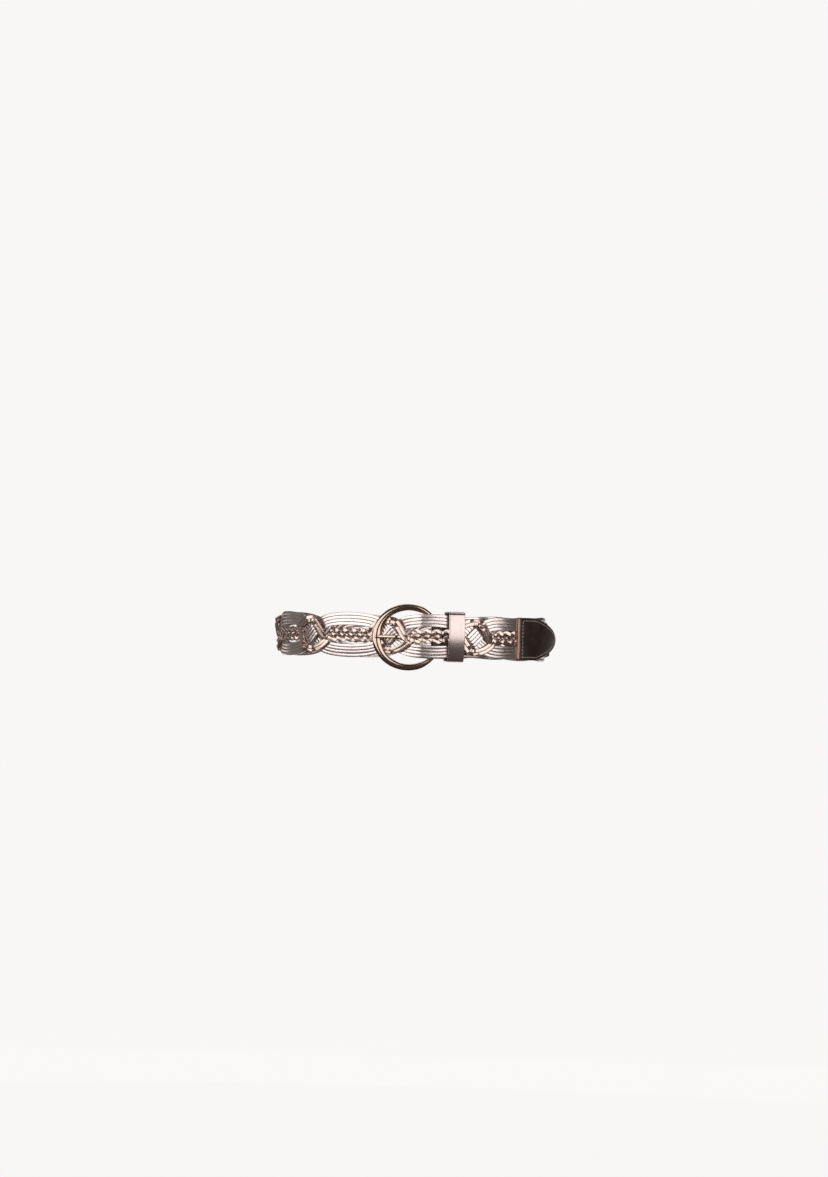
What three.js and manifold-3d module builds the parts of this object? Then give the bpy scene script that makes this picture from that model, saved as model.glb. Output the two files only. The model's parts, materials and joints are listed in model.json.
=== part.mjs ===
// A braided leather waist belt, fastened as worn: two flat ribbons of four laces swap sides at evenly
// spaced knots, with a four-lace braid between them. One end is folded round the buckle's bar, and the
// other passes up through the buckle, over the prong, through a keeper, and ends in a pointed tab.
// Millimetres. +Z up, +X to the viewer's right, the buckle faces -Y, the origin is the waist's centre.
import * as THREE from "three";
import { mergeVertices } from "three/addons/utils/BufferGeometryUtils.js";
import Module from "manifold-3d";

const { smoothstep } = THREE.MathUtils;
const wasm = await Module();
wasm.setup();

// Waist loop, measured to the strap's inner face, and the gap between pieces that lie on each other.
const WAIST_WIDTH = 232;
const WAIST_DEPTH = 174;
const CLEARANCE = 0.3;

// Laces.
const LACE_WIDTH = 2.8;
const LACE_THICKNESS = 2;
const GROOVE_DEPTH = 0.7;
const RIBBON_LACES = 4;
const BRANCH_LACES = 2;
const CROSSING_GAP = 0.9;

// Braid, seen flat: overall heights, and places along the strap from the front's centre, + to the right.
const LENS_HEIGHT = 39.2;
const KNOT_HEIGHT = 32;
const NECK_HEIGHT = 35.4;
const CORE_HEIGHT = 13.8;
const CORE_THICKNESS = 4;
const CORE_SCALLOP = 0.5;
const CORE_BIT = 8.1;
const KNOT_PITCH = 74;
const KNOT_REACH = 17;
const CROSSING_LENGTH = 10.3;
const BUCKLE_KNOT = -19.5;
const FREE_KNOT = 50.6;

// The braid's branches at a knot. The upper one climbs gently from the left to its peak, right of the
// knot's centre, and drops steeply. The lower one is the same, turned half round.
const BRANCH_PEAK = 2;
const GENTLE_REACH = 22;
const STEEP_REACH = 14;

// Buckle: a horseshoe ring whose ends are joined by a straight bar. It hangs a little below the middle.
const RING_WIDTH = 63.4;
const RING_HEIGHT = 57.8;
const RING_X = -3.8;
const RIM_FACE = 7.2;
const ARM_FACE = 5.4;
const RING_THICKNESS = 3.6;
const BAR_DIAMETER = 3.5;
const BAR_PLACE = 19;
const BUCKLE_DROP = 1.2;
const PRONG_HEIGHT = 3;
const PRONG_THICKNESS = 2;
const PRONG_EYE_THICKNESS = 1.4;
const PRONG_OVERHANG = 5.2;
const PRONG_OVER_KNOT = 7.7;
const PRONG_UNDER_KNOT = 14.6;

// Leather tab folded round the bar.
const FOLD_WALL = 1.6;
const FOLD_HEIGHT = 27;
const FOLD_END = 46;
const STRAP_START = 26;
const PRONG_SLOT = 4.4;

// Keeper loop.
const KEEPER_PLACE = 34.6;
const KEEPER_WIDTH = 14.4;
const KEEPER_HEIGHT = 43.8;
const KEEPER_WALL = 1.5;

// Pointed tab at the free end, with a raised edge strip at its mouth.
const TIP_START = 93;
const TIP_SHOULDER = 112;
const TIP_END = 151;
const TIP_HEIGHT = 37.4;
const TIP_WALL = 1.4;
const TIP_POCKET = 12;
const TIP_SHARPNESS = 0.6;
const TIP_BLUNT_SHARE = 0.03;
const TIP_THINNING = 0.35;
const EDGE_STRIP_WIDTH = 1.8;
const EDGE_STRIP_THICKNESS = 1.5;

// Where the strap climbs from the waist to lie over the buckle's bar.
const RISE_FROM = -26;
const RISE_TO = 8;

const RIBBON_WIDTH = RIBBON_LACES * LACE_WIDTH;
const BRANCH_WIDTH = BRANCH_LACES * LACE_WIDTH;
const LIFT = LACE_THICKNESS + CROSSING_GAP;
const RIBBON_COVER_MARGIN = 1.5 * LACE_WIDTH;
const BRANCH_COVER_MARGIN = 1.9 * LACE_WIDTH;
const NECK = NECK_HEIGHT / 2 - RIBBON_WIDTH / 2;
const BOW = (LENS_HEIGHT - NECK_HEIGHT) / 2;
const FOLD_STACK = 2 * FOLD_WALL + BAR_DIAMETER + 3 * CLEARANCE;
const OVERLAP_RISE = Math.max(FOLD_STACK, 2 * LIFT + LACE_THICKNESS + 2 * CLEARANCE);

const waist = new THREE.EllipseCurve(
  0, 0, WAIST_WIDTH / 2, WAIST_DEPTH / 2, -Math.PI / 2, 1.5 * Math.PI, false, 0,
);
waist.arcLengthDivisions = 1440;
const WAIST_LENGTH = waist.getLength();
const STRAP_BACK_END = STRAP_START - WAIST_LENGTH;
const FOLD_MOUTH = FOLD_END - WAIST_LENGTH;

// The knots' places along the strap, from the end at the bar to the free end.
const knots = [FREE_KNOT];
for (let place = BUCKLE_KNOT; place > STRAP_BACK_END + KNOT_PITCH / 2; place -= KNOT_PITCH) {
  knots.unshift(place);
}

// How far the strap's inner face stands off the waist at a place along it.
function standOff(place) {
  const over = OVERLAP_RISE * smoothstep(place, RISE_FROM, RISE_TO);
  const foldLeft = FOLD_MOUTH + 2 * LACE_WIDTH;
  const intoFold = 1 - smoothstep(place, foldLeft, foldLeft + 6 * LACE_WIDTH);
  return over + (FOLD_WALL + CLEARANCE) * intoFold;
}

// A point of the loop: place along it, height, and depth outwards from the waist.
function onWaist(place, height, depth) {
  const share = ((place / WAIST_LENGTH) % 1 + 1) % 1;
  const angle = 2 * Math.PI * waist.getUtoTmapping(share) - Math.PI / 2;
  const outX = Math.cos(angle) / (WAIST_WIDTH / 2);
  const outY = Math.sin(angle) / (WAIST_DEPTH / 2);
  const unit = depth / Math.hypot(outX, outY);
  return new THREE.Vector3(
    (WAIST_WIDTH / 2) * Math.cos(angle) + outX * unit,
    (WAIST_DEPTH / 2) * Math.sin(angle) + outY * unit,
    height,
  );
}

function nearestKnot(place) {
  let best = 0;
  knots.forEach((knot, i) => {
    if (Math.abs(place - knot) < Math.abs(place - knots[best])) best = i;
  });
  return best;
}

// Height of a ribbon's centre line. Ribbon 0 starts above, ribbon 1 below, and they swap at each knot.
// Between knots they bow apart, less where the span is short.
function ribbonHeight(ribbon, place) {
  const i = nearestKnot(place);
  const offset = place - knots[i];
  const ends = [FOLD_MOUTH, ...knots, TIP_START];
  const span = Math.abs(ends[offset > 0 ? i + 2 : i] - knots[i]);
  const fullBow = BOW * Math.min(1, (span / KNOT_PITCH) ** 2);
  const bow = fullBow * Math.sin((Math.PI * Math.min(Math.abs(offset), span)) / span) ** 2;
  const reach = NECK * Math.tanh(Math.abs(offset) / CROSSING_LENGTH) + bow;
  const passed = offset > 0 ? i + 1 : i;
  return (passed + ribbon) % 2 === 0 ? reach : -reach;
}

function slope(heightAt, place) {
  const step = 0.05;
  return (heightAt(place + step) - heightAt(place - step)) / (2 * step);
}

// 1 over a ribbon, easing to 0 at a margin beyond its edge.
function coverOf(ribbon, place, height, margin) {
  const heightAt = (p) => ribbonHeight(ribbon, p);
  const away = Math.abs(height - heightAt(place)) / Math.hypot(1, slope(heightAt, place));
  return 1 - smoothstep(away, RIBBON_WIDTH / 2, RIBBON_WIDTH / 2 + margin);
}

// At a knot, the ribbon that comes from below passes over the other.
function risingRibbon(knotIndex) {
  return (knotIndex + 1) % 2;
}

function ribbonLift(ribbon, place, height) {
  const rising = risingRibbon(nearestKnot(place));
  return ribbon === rising ? LIFT * coverOf(1 - ribbon, place, height, RIBBON_COVER_MARGIN) : 0;
}

// The braid's branches pass over both ribbons.
function branchLift(place, height) {
  const rising = risingRibbon(nearestKnot(place));
  const overFalling = coverOf(1 - rising, place, height, BRANCH_COVER_MARGIN);
  const overRising = coverOf(rising, place, height, BRANCH_COVER_MARGIN);
  return LIFT * Math.max(overFalling, overRising * (1 + overFalling));
}

// Half the space between the ribbons' inner edges.
function ribbonGap(place) {
  const heightAt = (p) => ribbonHeight(0, p);
  return Math.abs(heightAt(place)) - (RIBBON_WIDTH / 2) * Math.hypot(1, slope(heightAt, place));
}

// Joins rings of points into one closed surface. A ring list that doesn't close on itself gets two caps.
function skin(rings, outline, closed = false) {
  const count = outline.length;
  const positions = rings.flat().flatMap((p) => [p.x, p.y, p.z]);
  const index = [];
  const last = closed ? rings.length : rings.length - 1;
  for (let r = 0; r < last; r += 1) {
    const here = r * count;
    const there = ((r + 1) % rings.length) * count;
    for (let i = 0; i < count; i += 1) {
      const j = (i + 1) % count;
      index.push(here + i, here + j, there + i, here + j, there + j, there + i);
    }
  }
  if (!closed) {
    const flat = outline.map((p) => new THREE.Vector2(p.across, p.out));
    const end = (rings.length - 1) * count;
    for (const [a, b, c] of THREE.ShapeUtils.triangulateShape(flat, [])) {
      index.push(a, c, b, end + a, end + b, end + c);
    }
  }
  const geometry = new THREE.BufferGeometry();
  geometry.setAttribute("position", new THREE.Float32BufferAttribute(positions, 3));
  geometry.setIndex(index);
  return geometry;
}

function toSolid(geometry) {
  const merged = mergeVertices(geometry, 1e-4);
  return new wasm.Manifold(
    new wasm.Mesh({
      numProp: 3,
      vertProperties: new Float32Array(merged.attributes.position.array),
      triVerts: new Uint32Array(merged.index.array),
    }),
  );
}

function toGeometry(solid) {
  const mesh = solid.getMesh();
  const geometry = new THREE.BufferGeometry();
  geometry.setAttribute("position", new THREE.Float32BufferAttribute(mesh.vertProperties, 3));
  geometry.setIndex([...mesh.triVerts]);
  return geometry;
}

// Sweeps an outline along a line of the strap. The outline's points are shares of a half width and of a
// thickness, and run anticlockwise seen from the strap's start.
function sweepOnStrap({ places, heightAt, halfWidth, thickness, lift, outline }) {
  const rings = places.map((place) => {
    const tilt = Math.atan(slope(heightAt, place));
    const half = halfWidth(place);
    const thick = thickness(place);
    return outline.map(({ across, out }) => {
      const along = place - across * half * Math.sin(tilt);
      const height = heightAt(place) + across * half * Math.cos(tilt);
      return onWaist(along, height, standOff(along) + lift(along, height) + out * thick);
    });
  });
  return skin(rings, outline);
}

// Stations along the strap: shares of the knot's reach near each knot, and of the span between knots.
const KNOT_STATIONS = [-1, -0.7, -0.47, -0.24, 0, 0.24, 0.47, 0.7, 1];
const LENS_STATIONS = [0.36, 0.5, 0.64];

function ribbonPlaces(from, to) {
  const places = [];
  knots.forEach((knot, i) => {
    KNOT_STATIONS.forEach((share) => places.push(knot + share * KNOT_REACH));
    if (i + 1 in knots) LENS_STATIONS.forEach((share) => places.push(knot + share * (knots[i + 1] - knot)));
  });
  const first = knots[0] - KNOT_REACH;
  const last = knots[knots.length - 1] + KNOT_REACH;
  const ends = [
    from,
    (2 * from + FOLD_MOUTH) / 3,
    (from + 2 * FOLD_MOUTH) / 3,
    FOLD_MOUTH,
    FOLD_MOUTH + 2 * LACE_WIDTH,
    (FOLD_MOUTH + first) / 2,
    (last + TIP_START) / 2,
    TIP_START - EDGE_STRIP_WIDTH,
    (TIP_START + to) / 2,
    to,
  ];
  return [...places, ...ends].filter((place) => place >= from && place <= to).sort((a, b) => a - b);
}

// Outlines of the bands: the back is flat, the front has a crest for each lace. The outermost crests lie
// near the band's edges.
const BACK_WIDTH_SHARE = 0.96;
const EDGE_CREST_SHIFT = 0.6;
const CORE_ROWS = 3;
const RIBBON_OUTLINE = ribbedOutline(RIBBON_LACES, 4);
const BRANCH_OUTLINE = ribbedOutline(BRANCH_LACES, 2);
const CORE_OUTLINE = ribbedOutline(CORE_ROWS, 3);

function ribbedOutline(ribs, backPoints) {
  const points = [];
  for (let i = 0; i < backPoints; i += 1) {
    points.push({ across: BACK_WIDTH_SHARE * ((2 * i) / (backPoints - 1) - 1), out: 0 });
  }
  const groove = 1 - GROOVE_DEPTH / LACE_THICKNESS;
  for (let i = ribs - 1; i >= 0; i -= 1) {
    const centre = (2 * i + 1) / ribs - 1;
    const outermost = i === 0 || i === ribs - 1;
    const outward = outermost ? (Math.sign(centre) * EDGE_CREST_SHIFT) / ribs : 0;
    points.push({ across: centre + outward, out: 1 });
    if (i > 0) points.push({ across: centre - 1 / ribs, out: groove });
  }
  return points;
}

const TIP_LACE_END = TIP_START + TIP_POCKET - 2 * CLEARANCE;

function ribbonGeometry(ribbon) {
  return sweepOnStrap({
    places: ribbonPlaces(STRAP_BACK_END, TIP_LACE_END),
    heightAt: (place) => ribbonHeight(ribbon, place),
    halfWidth: () => RIBBON_WIDTH / 2,
    thickness: () => LACE_THICKNESS,
    lift: (place, height) => ribbonLift(ribbon, place, height),
    outline: RIBBON_OUTLINE,
  });
}

// One stretch of the four-lace braid, with a scalloped edge. It thins towards its ends, or towards the
// places where leather closes over it.
function coreStretch(from, to) {
  const thinFrom = Math.max(from, FOLD_MOUTH);
  const thinTo = Math.min(to, TIP_START - EDGE_STRIP_WIDTH - CLEARANCE);
  const steps = 2 * Math.max(2, Math.round((to - from) / CORE_BIT));
  const places = Array.from({ length: steps + 1 }, (_, i) => from + ((to - from) * i) / steps);
  const endShare = (place) => {
    const inside = Math.min(place - thinFrom, thinTo - place);
    return THREE.MathUtils.clamp(inside / (2 * LACE_WIDTH), 0, 1);
  };
  return sweepOnStrap({
    places,
    heightAt: () => 0,
    halfWidth: (place) => {
      const wave = Math.round(((place - from) * steps) / (to - from)) % 2 === 0 ? -1 : 1;
      return Math.min(CORE_HEIGHT / 2 + wave * CORE_SCALLOP, ribbonGap(place) - CLEARANCE);
    },
    thickness: (place) => LACE_THICKNESS + endShare(place) * (CORE_THICKNESS - LACE_THICKNESS),
    lift: () => 0,
    outline: CORE_OUTLINE,
  });
}

// Stations along a branch: shares of its gentle reach, below 0, and of its steep reach, above 0.
const BRANCH_STATIONS = [-0.9, -0.65, -0.42, -0.2, 0, 0.22, 0.48, 0.74, 1];

// One of the two branches that the braid divides into round a knot's crossing: side 1 passes above the
// crossing, side -1 below it.
function coreBranch(knot, side) {
  const low = CORE_HEIGHT / 4;
  const high = KNOT_HEIGHT / 2 - BRANCH_WIDTH / 2;
  const offsets = BRANCH_STATIONS.map(
    (share) => BRANCH_PEAK + share * (share < 0 ? GENTLE_REACH : STEEP_REACH),
  );
  return sweepOnStrap({
    places: offsets.map((offset) => knot + side * offset).sort((a, b) => a - b),
    heightAt: (place) => {
      const fromPeak = side * (place - knot) - BRANCH_PEAK;
      const share = Math.min(1, Math.max(fromPeak / STEEP_REACH, -fromPeak / GENTLE_REACH));
      return side * (low + (high - low) * Math.cos((Math.PI / 2) * share) ** 2);
    },
    halfWidth: () => BRANCH_WIDTH / 2,
    thickness: () => LACE_THICKNESS,
    lift: branchLift,
    outline: BRANCH_OUTLINE,
  });
}

// Where the braid's plain stretches end before a knot, and start again after it.
const CORE_JOIN = 0.9 * KNOT_REACH;

function coreGeometry() {
  const starts = [STRAP_BACK_END, ...knots.map((knot) => knot + CORE_JOIN)];
  const ends = [...knots.map((knot) => knot - CORE_JOIN), TIP_LACE_END];
  const pieces = starts.map((start, i) => coreStretch(start, ends[i]));
  knots.forEach((knot) => pieces.push(coreBranch(knot, 1), coreBranch(knot, -1)));
  return toGeometry(wasm.Manifold.union(pieces.map(toSolid)));
}

// Outline of a flat leather piece with eased edges.
const SLAB_OUTLINE = [
  { across: -0.94, out: 0 },
  { across: 0.94, out: 0 },
  { across: 1, out: 0.25 },
  { across: 1, out: 0.75 },
  { across: 0.94, out: 1 },
  { across: -0.94, out: 1 },
  { across: -1, out: 0.75 },
  { across: -1, out: 0.25 },
];

const SQUARE_OUTLINE = [
  { across: -1, out: 0 },
  { across: 1, out: 0 },
  { across: 1, out: 1 },
  { across: -1, out: 1 },
];

const TIP_THICKNESS = LACE_THICKNESS + 2 * TIP_WALL + 2 * CLEARANCE;

function tipHalfHeight(place) {
  const share = Math.max(0, (place - TIP_SHOULDER) / (TIP_END - TIP_SHOULDER));
  return (TIP_HEIGHT / 2) * Math.max(TIP_BLUNT_SHARE, 1 - share) ** TIP_SHARPNESS;
}

// The pointed tab: two walls sewn together, open at the mouth where the laces enter.
function tipTabGeometry() {
  const straight = [0, 0.25, 0.5, 0.75, 1].map((share) => TIP_START + share * (TIP_SHOULDER - TIP_START));
  const point = [0.1, 0.25, 0.4, 0.55, 0.7, 0.82, 0.92, 0.97, 1].map(
    (share) => TIP_SHOULDER + share * (TIP_END - TIP_SHOULDER),
  );
  const thin = (place) => 1 - TIP_THINNING * smoothstep(place, TIP_START + TIP_POCKET, TIP_END);
  const outer = sweepOnStrap({
    places: [...straight, ...point],
    heightAt: () => 0,
    halfWidth: tipHalfHeight,
    thickness: (place) => TIP_THICKNESS * thin(place),
    lift: (place) => TIP_THICKNESS * (1 - thin(place)) - TIP_WALL - CLEARANCE,
    outline: SLAB_OUTLINE,
  });
  const pocket = sweepOnStrap({
    places: [-0.15, 0.2, 0.6, 1].map((share) => TIP_START + share * TIP_POCKET),
    heightAt: () => 0,
    halfWidth: () => NECK_HEIGHT / 2 + CLEARANCE,
    thickness: () => LACE_THICKNESS + 2 * CLEARANCE,
    lift: () => -CLEARANCE,
    outline: SQUARE_OUTLINE,
  });
  return toGeometry(toSolid(outer).subtract(toSolid(pocket)));
}

// A raised strip across the laces at the tab's mouth, with eased edges.
function edgeStripGeometry() {
  const half = EDGE_STRIP_WIDTH / 2;
  const centre = TIP_START - CLEARANCE - half;
  const edgeThickness = 0.7 * EDGE_STRIP_THICKNESS;
  const isEdge = (place) => Math.abs(place - centre) > (2 / 3) * half;
  return sweepOnStrap({
    places: [centre - half, centre - half / 2, centre + half / 2, centre + half],
    heightAt: () => 0,
    halfWidth: () => NECK_HEIGHT / 2 + CLEARANCE,
    thickness: (place) => (isEdge(place) ? edgeThickness : EDGE_STRIP_THICKNESS),
    lift: () => LACE_THICKNESS + CLEARANCE,
    outline: SLAB_OUTLINE,
  });
}

// The place along the waist whose point at a depth has a given x. It holds for the front half.
function placeAtX(x, depth) {
  let place = x;
  for (let i = 0; i < 12; i += 1) place += x - onWaist(place, 0, depth).x;
  return place;
}

// The buckle's plane runs from the left rim, which lies on the strap, to the bar inside the fold.
const BAR_DEPTH = FOLD_WALL + CLEARANCE + BAR_DIAMETER / 2;
const barCentre = onWaist(BAR_PLACE, -BUCKLE_DROP, BAR_DEPTH);
const rimDepth = 2 * LACE_THICKNESS + CROSSING_GAP + 6 * CLEARANCE + RING_THICKNESS / 2;
const rimX = RING_X - RING_WIDTH / 2 + RIM_FACE / 2;
const rimCentre = onWaist(placeAtX(rimX, rimDepth), -BUCKLE_DROP, rimDepth);
const ringDirection = new THREE.Vector3().subVectors(barCentre, rimCentre).normalize();
const ringCentre = rimCentre.clone().addScaledVector(ringDirection, (RING_WIDTH - RIM_FACE) / 2);
const barOffset = barCentre.distanceTo(ringCentre);

// The ring's middle line: an arc from one end of the bar round to the other, then the bar itself. Its
// face tapers from the arms to the bar over a stretch given as shares of the ring's width from the bar.
const TAPER_FROM = 0.1;
const TAPER_TO = 0.35;

function ringLine() {
  const semiX = (RING_WIDTH - RIM_FACE) / 2;
  const semiZ = (RING_HEIGHT - ARM_FACE) / 2;
  const start = Math.acos(barOffset / semiX);
  const arcSteps = 34;
  const barSteps = 5;
  const line = [];
  for (let i = 0; i <= arcSteps; i += 1) {
    const angle = start + ((2 * Math.PI - 2 * start) * i) / arcSteps;
    const leftness = (1 - Math.cos(angle)) / 2;
    const taper = smoothstep(leftness, TAPER_FROM, TAPER_TO);
    const fullFace = ARM_FACE + (RIM_FACE - ARM_FACE) * leftness ** 3;
    line.push({
      x: semiX * Math.cos(angle),
      z: semiZ * Math.sin(angle),
      face: BAR_DIAMETER + (fullFace - BAR_DIAMETER) * taper,
      round: 0,
    });
  }
  const endZ = semiZ * Math.sin(start);
  for (let i = 1; i < barSteps; i += 1) {
    line.push({ x: barOffset, z: -endZ + (2 * endZ * i) / barSteps, face: BAR_DIAMETER, round: 1 });
  }
  return line;
}

// Outlines across a bar: shares of half its face and half its thickness.
const BEVELLED = [
  { across: 1, out: 0.3 },
  { across: 0.55, out: 1 },
  { across: -0.55, out: 1 },
  { across: -1, out: 0.3 },
  { across: -1, out: -0.3 },
  { across: -0.55, out: -1 },
  { across: 0.55, out: -1 },
  { across: 1, out: -0.3 },
];
const ROUNDED = BEVELLED.map((_, i) => ({
  across: Math.cos((Math.PI / 8) * (2 * i + 1)),
  out: Math.sin((Math.PI / 8) * (2 * i + 1)),
}));

// How far the section may widen at a corner of the ring: 1 over this share.
const MITRE_LIMIT = 0.6;

function buckleFrameGeometry() {
  const line = ringLine();
  const count = line.length;
  const rings = line.map((point, i) => {
    const before = line[(i + count - 1) % count];
    const after = line[(i + 1) % count];
    const inward = new THREE.Vector2(point.x - before.x, point.z - before.z).normalize();
    const onward = new THREE.Vector2(after.x - point.x, after.z - point.z).normalize();
    const along = inward.clone().add(onward).normalize();
    const mitre = 1 / Math.max(MITRE_LIMIT, along.dot(onward));
    const section = point.round ? ROUNDED : BEVELLED;
    const depth = point.round ? BAR_DIAMETER : RING_THICKNESS;
    return section.map(({ across, out }) => {
      const side = (across * point.face * mitre) / 2;
      return new THREE.Vector3(point.x + along.y * side, (out * depth) / 2, point.z - along.x * side);
    });
  });
  return skin(rings, BEVELLED, true);
}

// The prong: an eye round the bar, then over the strap's knot to rest on the left rim. The eye's angles
// are in degrees.
const EYE_FROM = -175;
const EYE_TURN = 265;

function prongLine() {
  const eyeRadius = BAR_DIAMETER / 2 + CLEARANCE + PRONG_EYE_THICKNESS / 2;
  const eye = [];
  const eyeSteps = 12;
  for (let i = 0; i <= eyeSteps; i += 1) {
    const angle = THREE.MathUtils.degToRad(EYE_FROM + (EYE_TURN * i) / eyeSteps);
    eye.push(new THREE.Vector3(
      barCentre.x + eyeRadius * Math.cos(angle), barCentre.y - eyeRadius * Math.sin(angle), 0,
    ));
  }
  const half = PRONG_THICKNESS / 2;
  const knotTop = 2 * LACE_THICKNESS + CROSSING_GAP;
  const underPlace = BUCKLE_KNOT + PRONG_UNDER_KNOT;
  const overPlace = BUCKLE_KNOT + PRONG_OVER_KNOT;
  const rimTop = rimCentre.y - RING_THICKNESS / 2 - CLEARANCE - half;
  const way = [
    eye[eyeSteps],
    onWaist((BAR_PLACE + underPlace) / 2, 0, standOff(underPlace) - CLEARANCE - half),
    onWaist(underPlace, 0, standOff(underPlace) - CLEARANCE - half),
    onWaist(overPlace, 0, standOff(overPlace) + knotTop + 2 * CLEARANCE + half),
    new THREE.Vector3(rimCentre.x + RIM_FACE / 2, rimTop, 0),
    new THREE.Vector3(rimCentre.x + RIM_FACE / 2 - PRONG_OVERHANG, rimTop, 0),
  ];
  const curve = new THREE.CatmullRomCurve3(way, false, "centripetal");
  const shank = curve.getSpacedPoints(15).slice(1);
  return { line: [...eye, ...shank], eyeCount: eye.length };
}

function prongGeometry() {
  const { line, eyeCount } = prongLine();
  const last = line.length - 1;
  const endShare = 0.6;
  const rings = line.map((point, i) => {
    const before = line[Math.max(0, i - 1)];
    const after = line[Math.min(last, i + 1)];
    const along = new THREE.Vector3().subVectors(after, before).normalize();
    const out = new THREE.Vector3(along.y, -along.x, 0);
    const swell = smoothstep(i, eyeCount - 1, eyeCount + 3);
    const thick = PRONG_EYE_THICKNESS + (PRONG_THICKNESS - PRONG_EYE_THICKNESS) * swell;
    const size = i === last ? endShare : 1;
    return BEVELLED.map((corner) => {
      const height = (corner.across * PRONG_HEIGHT * size) / 2 - BUCKLE_DROP;
      return point.clone().addScaledVector(out, (corner.out * thick * size) / 2).setZ(height);
    });
  });
  return skin(rings, BEVELLED);
}

// The leather fold: a strip that runs from between the strap's layers round the bar and back.
function foldGeometry() {
  const wrap = BAR_DIAMETER / 2 + CLEARANCE;
  const closedAt = BAR_PLACE + 3 * BAR_DIAMETER;
  const frontInner = (place) => {
    const open = BAR_DEPTH + wrap;
    const shut = FOLD_WALL + LACE_THICKNESS + 3 * CLEARANCE;
    return open - (open - shut) * smoothstep(place, BAR_PLACE + wrap, closedAt);
  };
  const stations = [1, 0.8, 0.6, 0.4, 0.2, 0].map((share) => BAR_PLACE + share * (FOLD_END - BAR_PLACE));
  const turn = Array.from({ length: 9 }, (_, i) => Math.PI / 2 + (Math.PI * i) / 8);
  const round = (radius) => turn.slice(1, -1).map((angle) => (
    new THREE.Vector3(
      barCentre.x + radius * Math.cos(angle), barCentre.y - radius * Math.sin(angle), 0,
    )
  ));
  const outside = [
    ...stations.map((place) => onWaist(place, 0, frontInner(place) + FOLD_WALL)),
    ...round(wrap + FOLD_WALL),
    ...[...stations].reverse().map((place) => onWaist(place, 0, 0)),
  ];
  const inside = [
    ...stations.map((place) => onWaist(place, 0, FOLD_WALL)),
    ...round(wrap).reverse(),
    ...[...stations].reverse().map((place) => onWaist(place, 0, frontInner(place))),
  ];
  const shape = new THREE.Shape([...outside, ...inside].map((p) => new THREE.Vector2(p.x, p.y)));
  const strip = new THREE.ExtrudeGeometry(shape, { depth: FOLD_HEIGHT, bevelEnabled: false });
  strip.deleteAttribute("normal");
  strip.deleteAttribute("uv");
  strip.translate(0, 0, -FOLD_HEIGHT / 2 - BUCKLE_DROP);
  const slotReach = 2 * (wrap + FOLD_WALL);
  const slot = new THREE.BoxGeometry(slotReach, 2 * slotReach, PRONG_SLOT);
  slot.deleteAttribute("normal");
  slot.deleteAttribute("uv");
  slot.translate(barCentre.x, barCentre.y, -BUCKLE_DROP);
  return toGeometry(toSolid(strip).subtract(toSolid(slot)));
}

// The keeper: a closed band round both layers of the strap.
function keeperGeometry() {
  const back = -2 * CLEARANCE;
  const front = OVERLAP_RISE + 2 * LACE_THICKNESS + CROSSING_GAP + 5 * CLEARANCE;
  const halfHeight = KEEPER_HEIGHT / 2;
  const corner = 2 * KEEPER_WALL;
  const band = roundedBox(-halfHeight, back - KEEPER_WALL, halfHeight, front + KEEPER_WALL, corner);
  const inner = halfHeight - KEEPER_WALL;
  band.holes.push(roundedBox(-inner, back, inner, front, corner - KEEPER_WALL));
  const geometry = new THREE.ExtrudeGeometry(band, {
    depth: KEEPER_WIDTH, bevelEnabled: false, curveSegments: 4,
  });
  return geometry.translate(0, 0, -KEEPER_WIDTH / 2);
}

function roundedBox(left, low, right, high, radius) {
  const shape = new THREE.Shape();
  shape.moveTo(left + radius, low);
  shape.lineTo(right - radius, low);
  shape.absarc(right - radius, low + radius, radius, -Math.PI / 2, 0);
  shape.lineTo(right, high - radius);
  shape.absarc(right - radius, high - radius, radius, 0, Math.PI / 2);
  shape.lineTo(left + radius, high);
  shape.absarc(left + radius, high - radius, radius, Math.PI / 2, Math.PI);
  shape.lineTo(left, low + radius);
  shape.absarc(left + radius, low + radius, radius, Math.PI, 1.5 * Math.PI);
  return shape;
}

const roseLeather = { color: "#cbb0aa", roughness: 0.38, metalness: 0.6 };
const finishes = {
  ribbon: roseLeather,
  core: { ...roseLeather, color: "#c0a29b" },
  darkLeather: { color: "#1f1613", roughness: 0.35, metalness: 0 },
  rawEdge: { color: "#c99b84", roughness: 0.6, metalness: 0 },
  keeper: { color: "#c9a894", roughness: 0.3, metalness: 0.7 },
  polishedMetal: { color: "#c9ab95", roughness: 0.15, metalness: 1 },
};

function piece(name, geometry, finish) {
  const mesh = new THREE.Mesh(geometry, new THREE.MeshStandardMaterial(finishes[finish]));
  mesh.name = name;
  return mesh;
}

// The strap's pieces are made where they lie on the waist.
const strap = new THREE.Group();
strap.add(
  piece("ribbon_one", ribbonGeometry(0), "ribbon"),
  piece("ribbon_two", ribbonGeometry(1), "ribbon"),
  piece("core_braid", coreGeometry(), "core"),
  piece("tip_tab", tipTabGeometry(), "darkLeather"),
  piece("tip_edge_strip", edgeStripGeometry(), "rawEdge"),
  piece("buckle_fold", foldGeometry(), "darkLeather"),
);

// The keeper's band is drawn in height and depth, and stands square to the strap at its place.
const keeper = piece("keeper_loop", keeperGeometry(), "keeper");
const keeperSeat = onWaist(KEEPER_PLACE, 0, 0);
const keeperOut = onWaist(KEEPER_PLACE, 0, 1).sub(keeperSeat);
const keeperUp = new THREE.Vector3(0, 0, 1);
keeper.quaternion.setFromRotationMatrix(
  new THREE.Matrix4().makeBasis(keeperUp, keeperOut, new THREE.Vector3().crossVectors(keeperUp, keeperOut)),
);
keeper.position.copy(keeperSeat);

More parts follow.
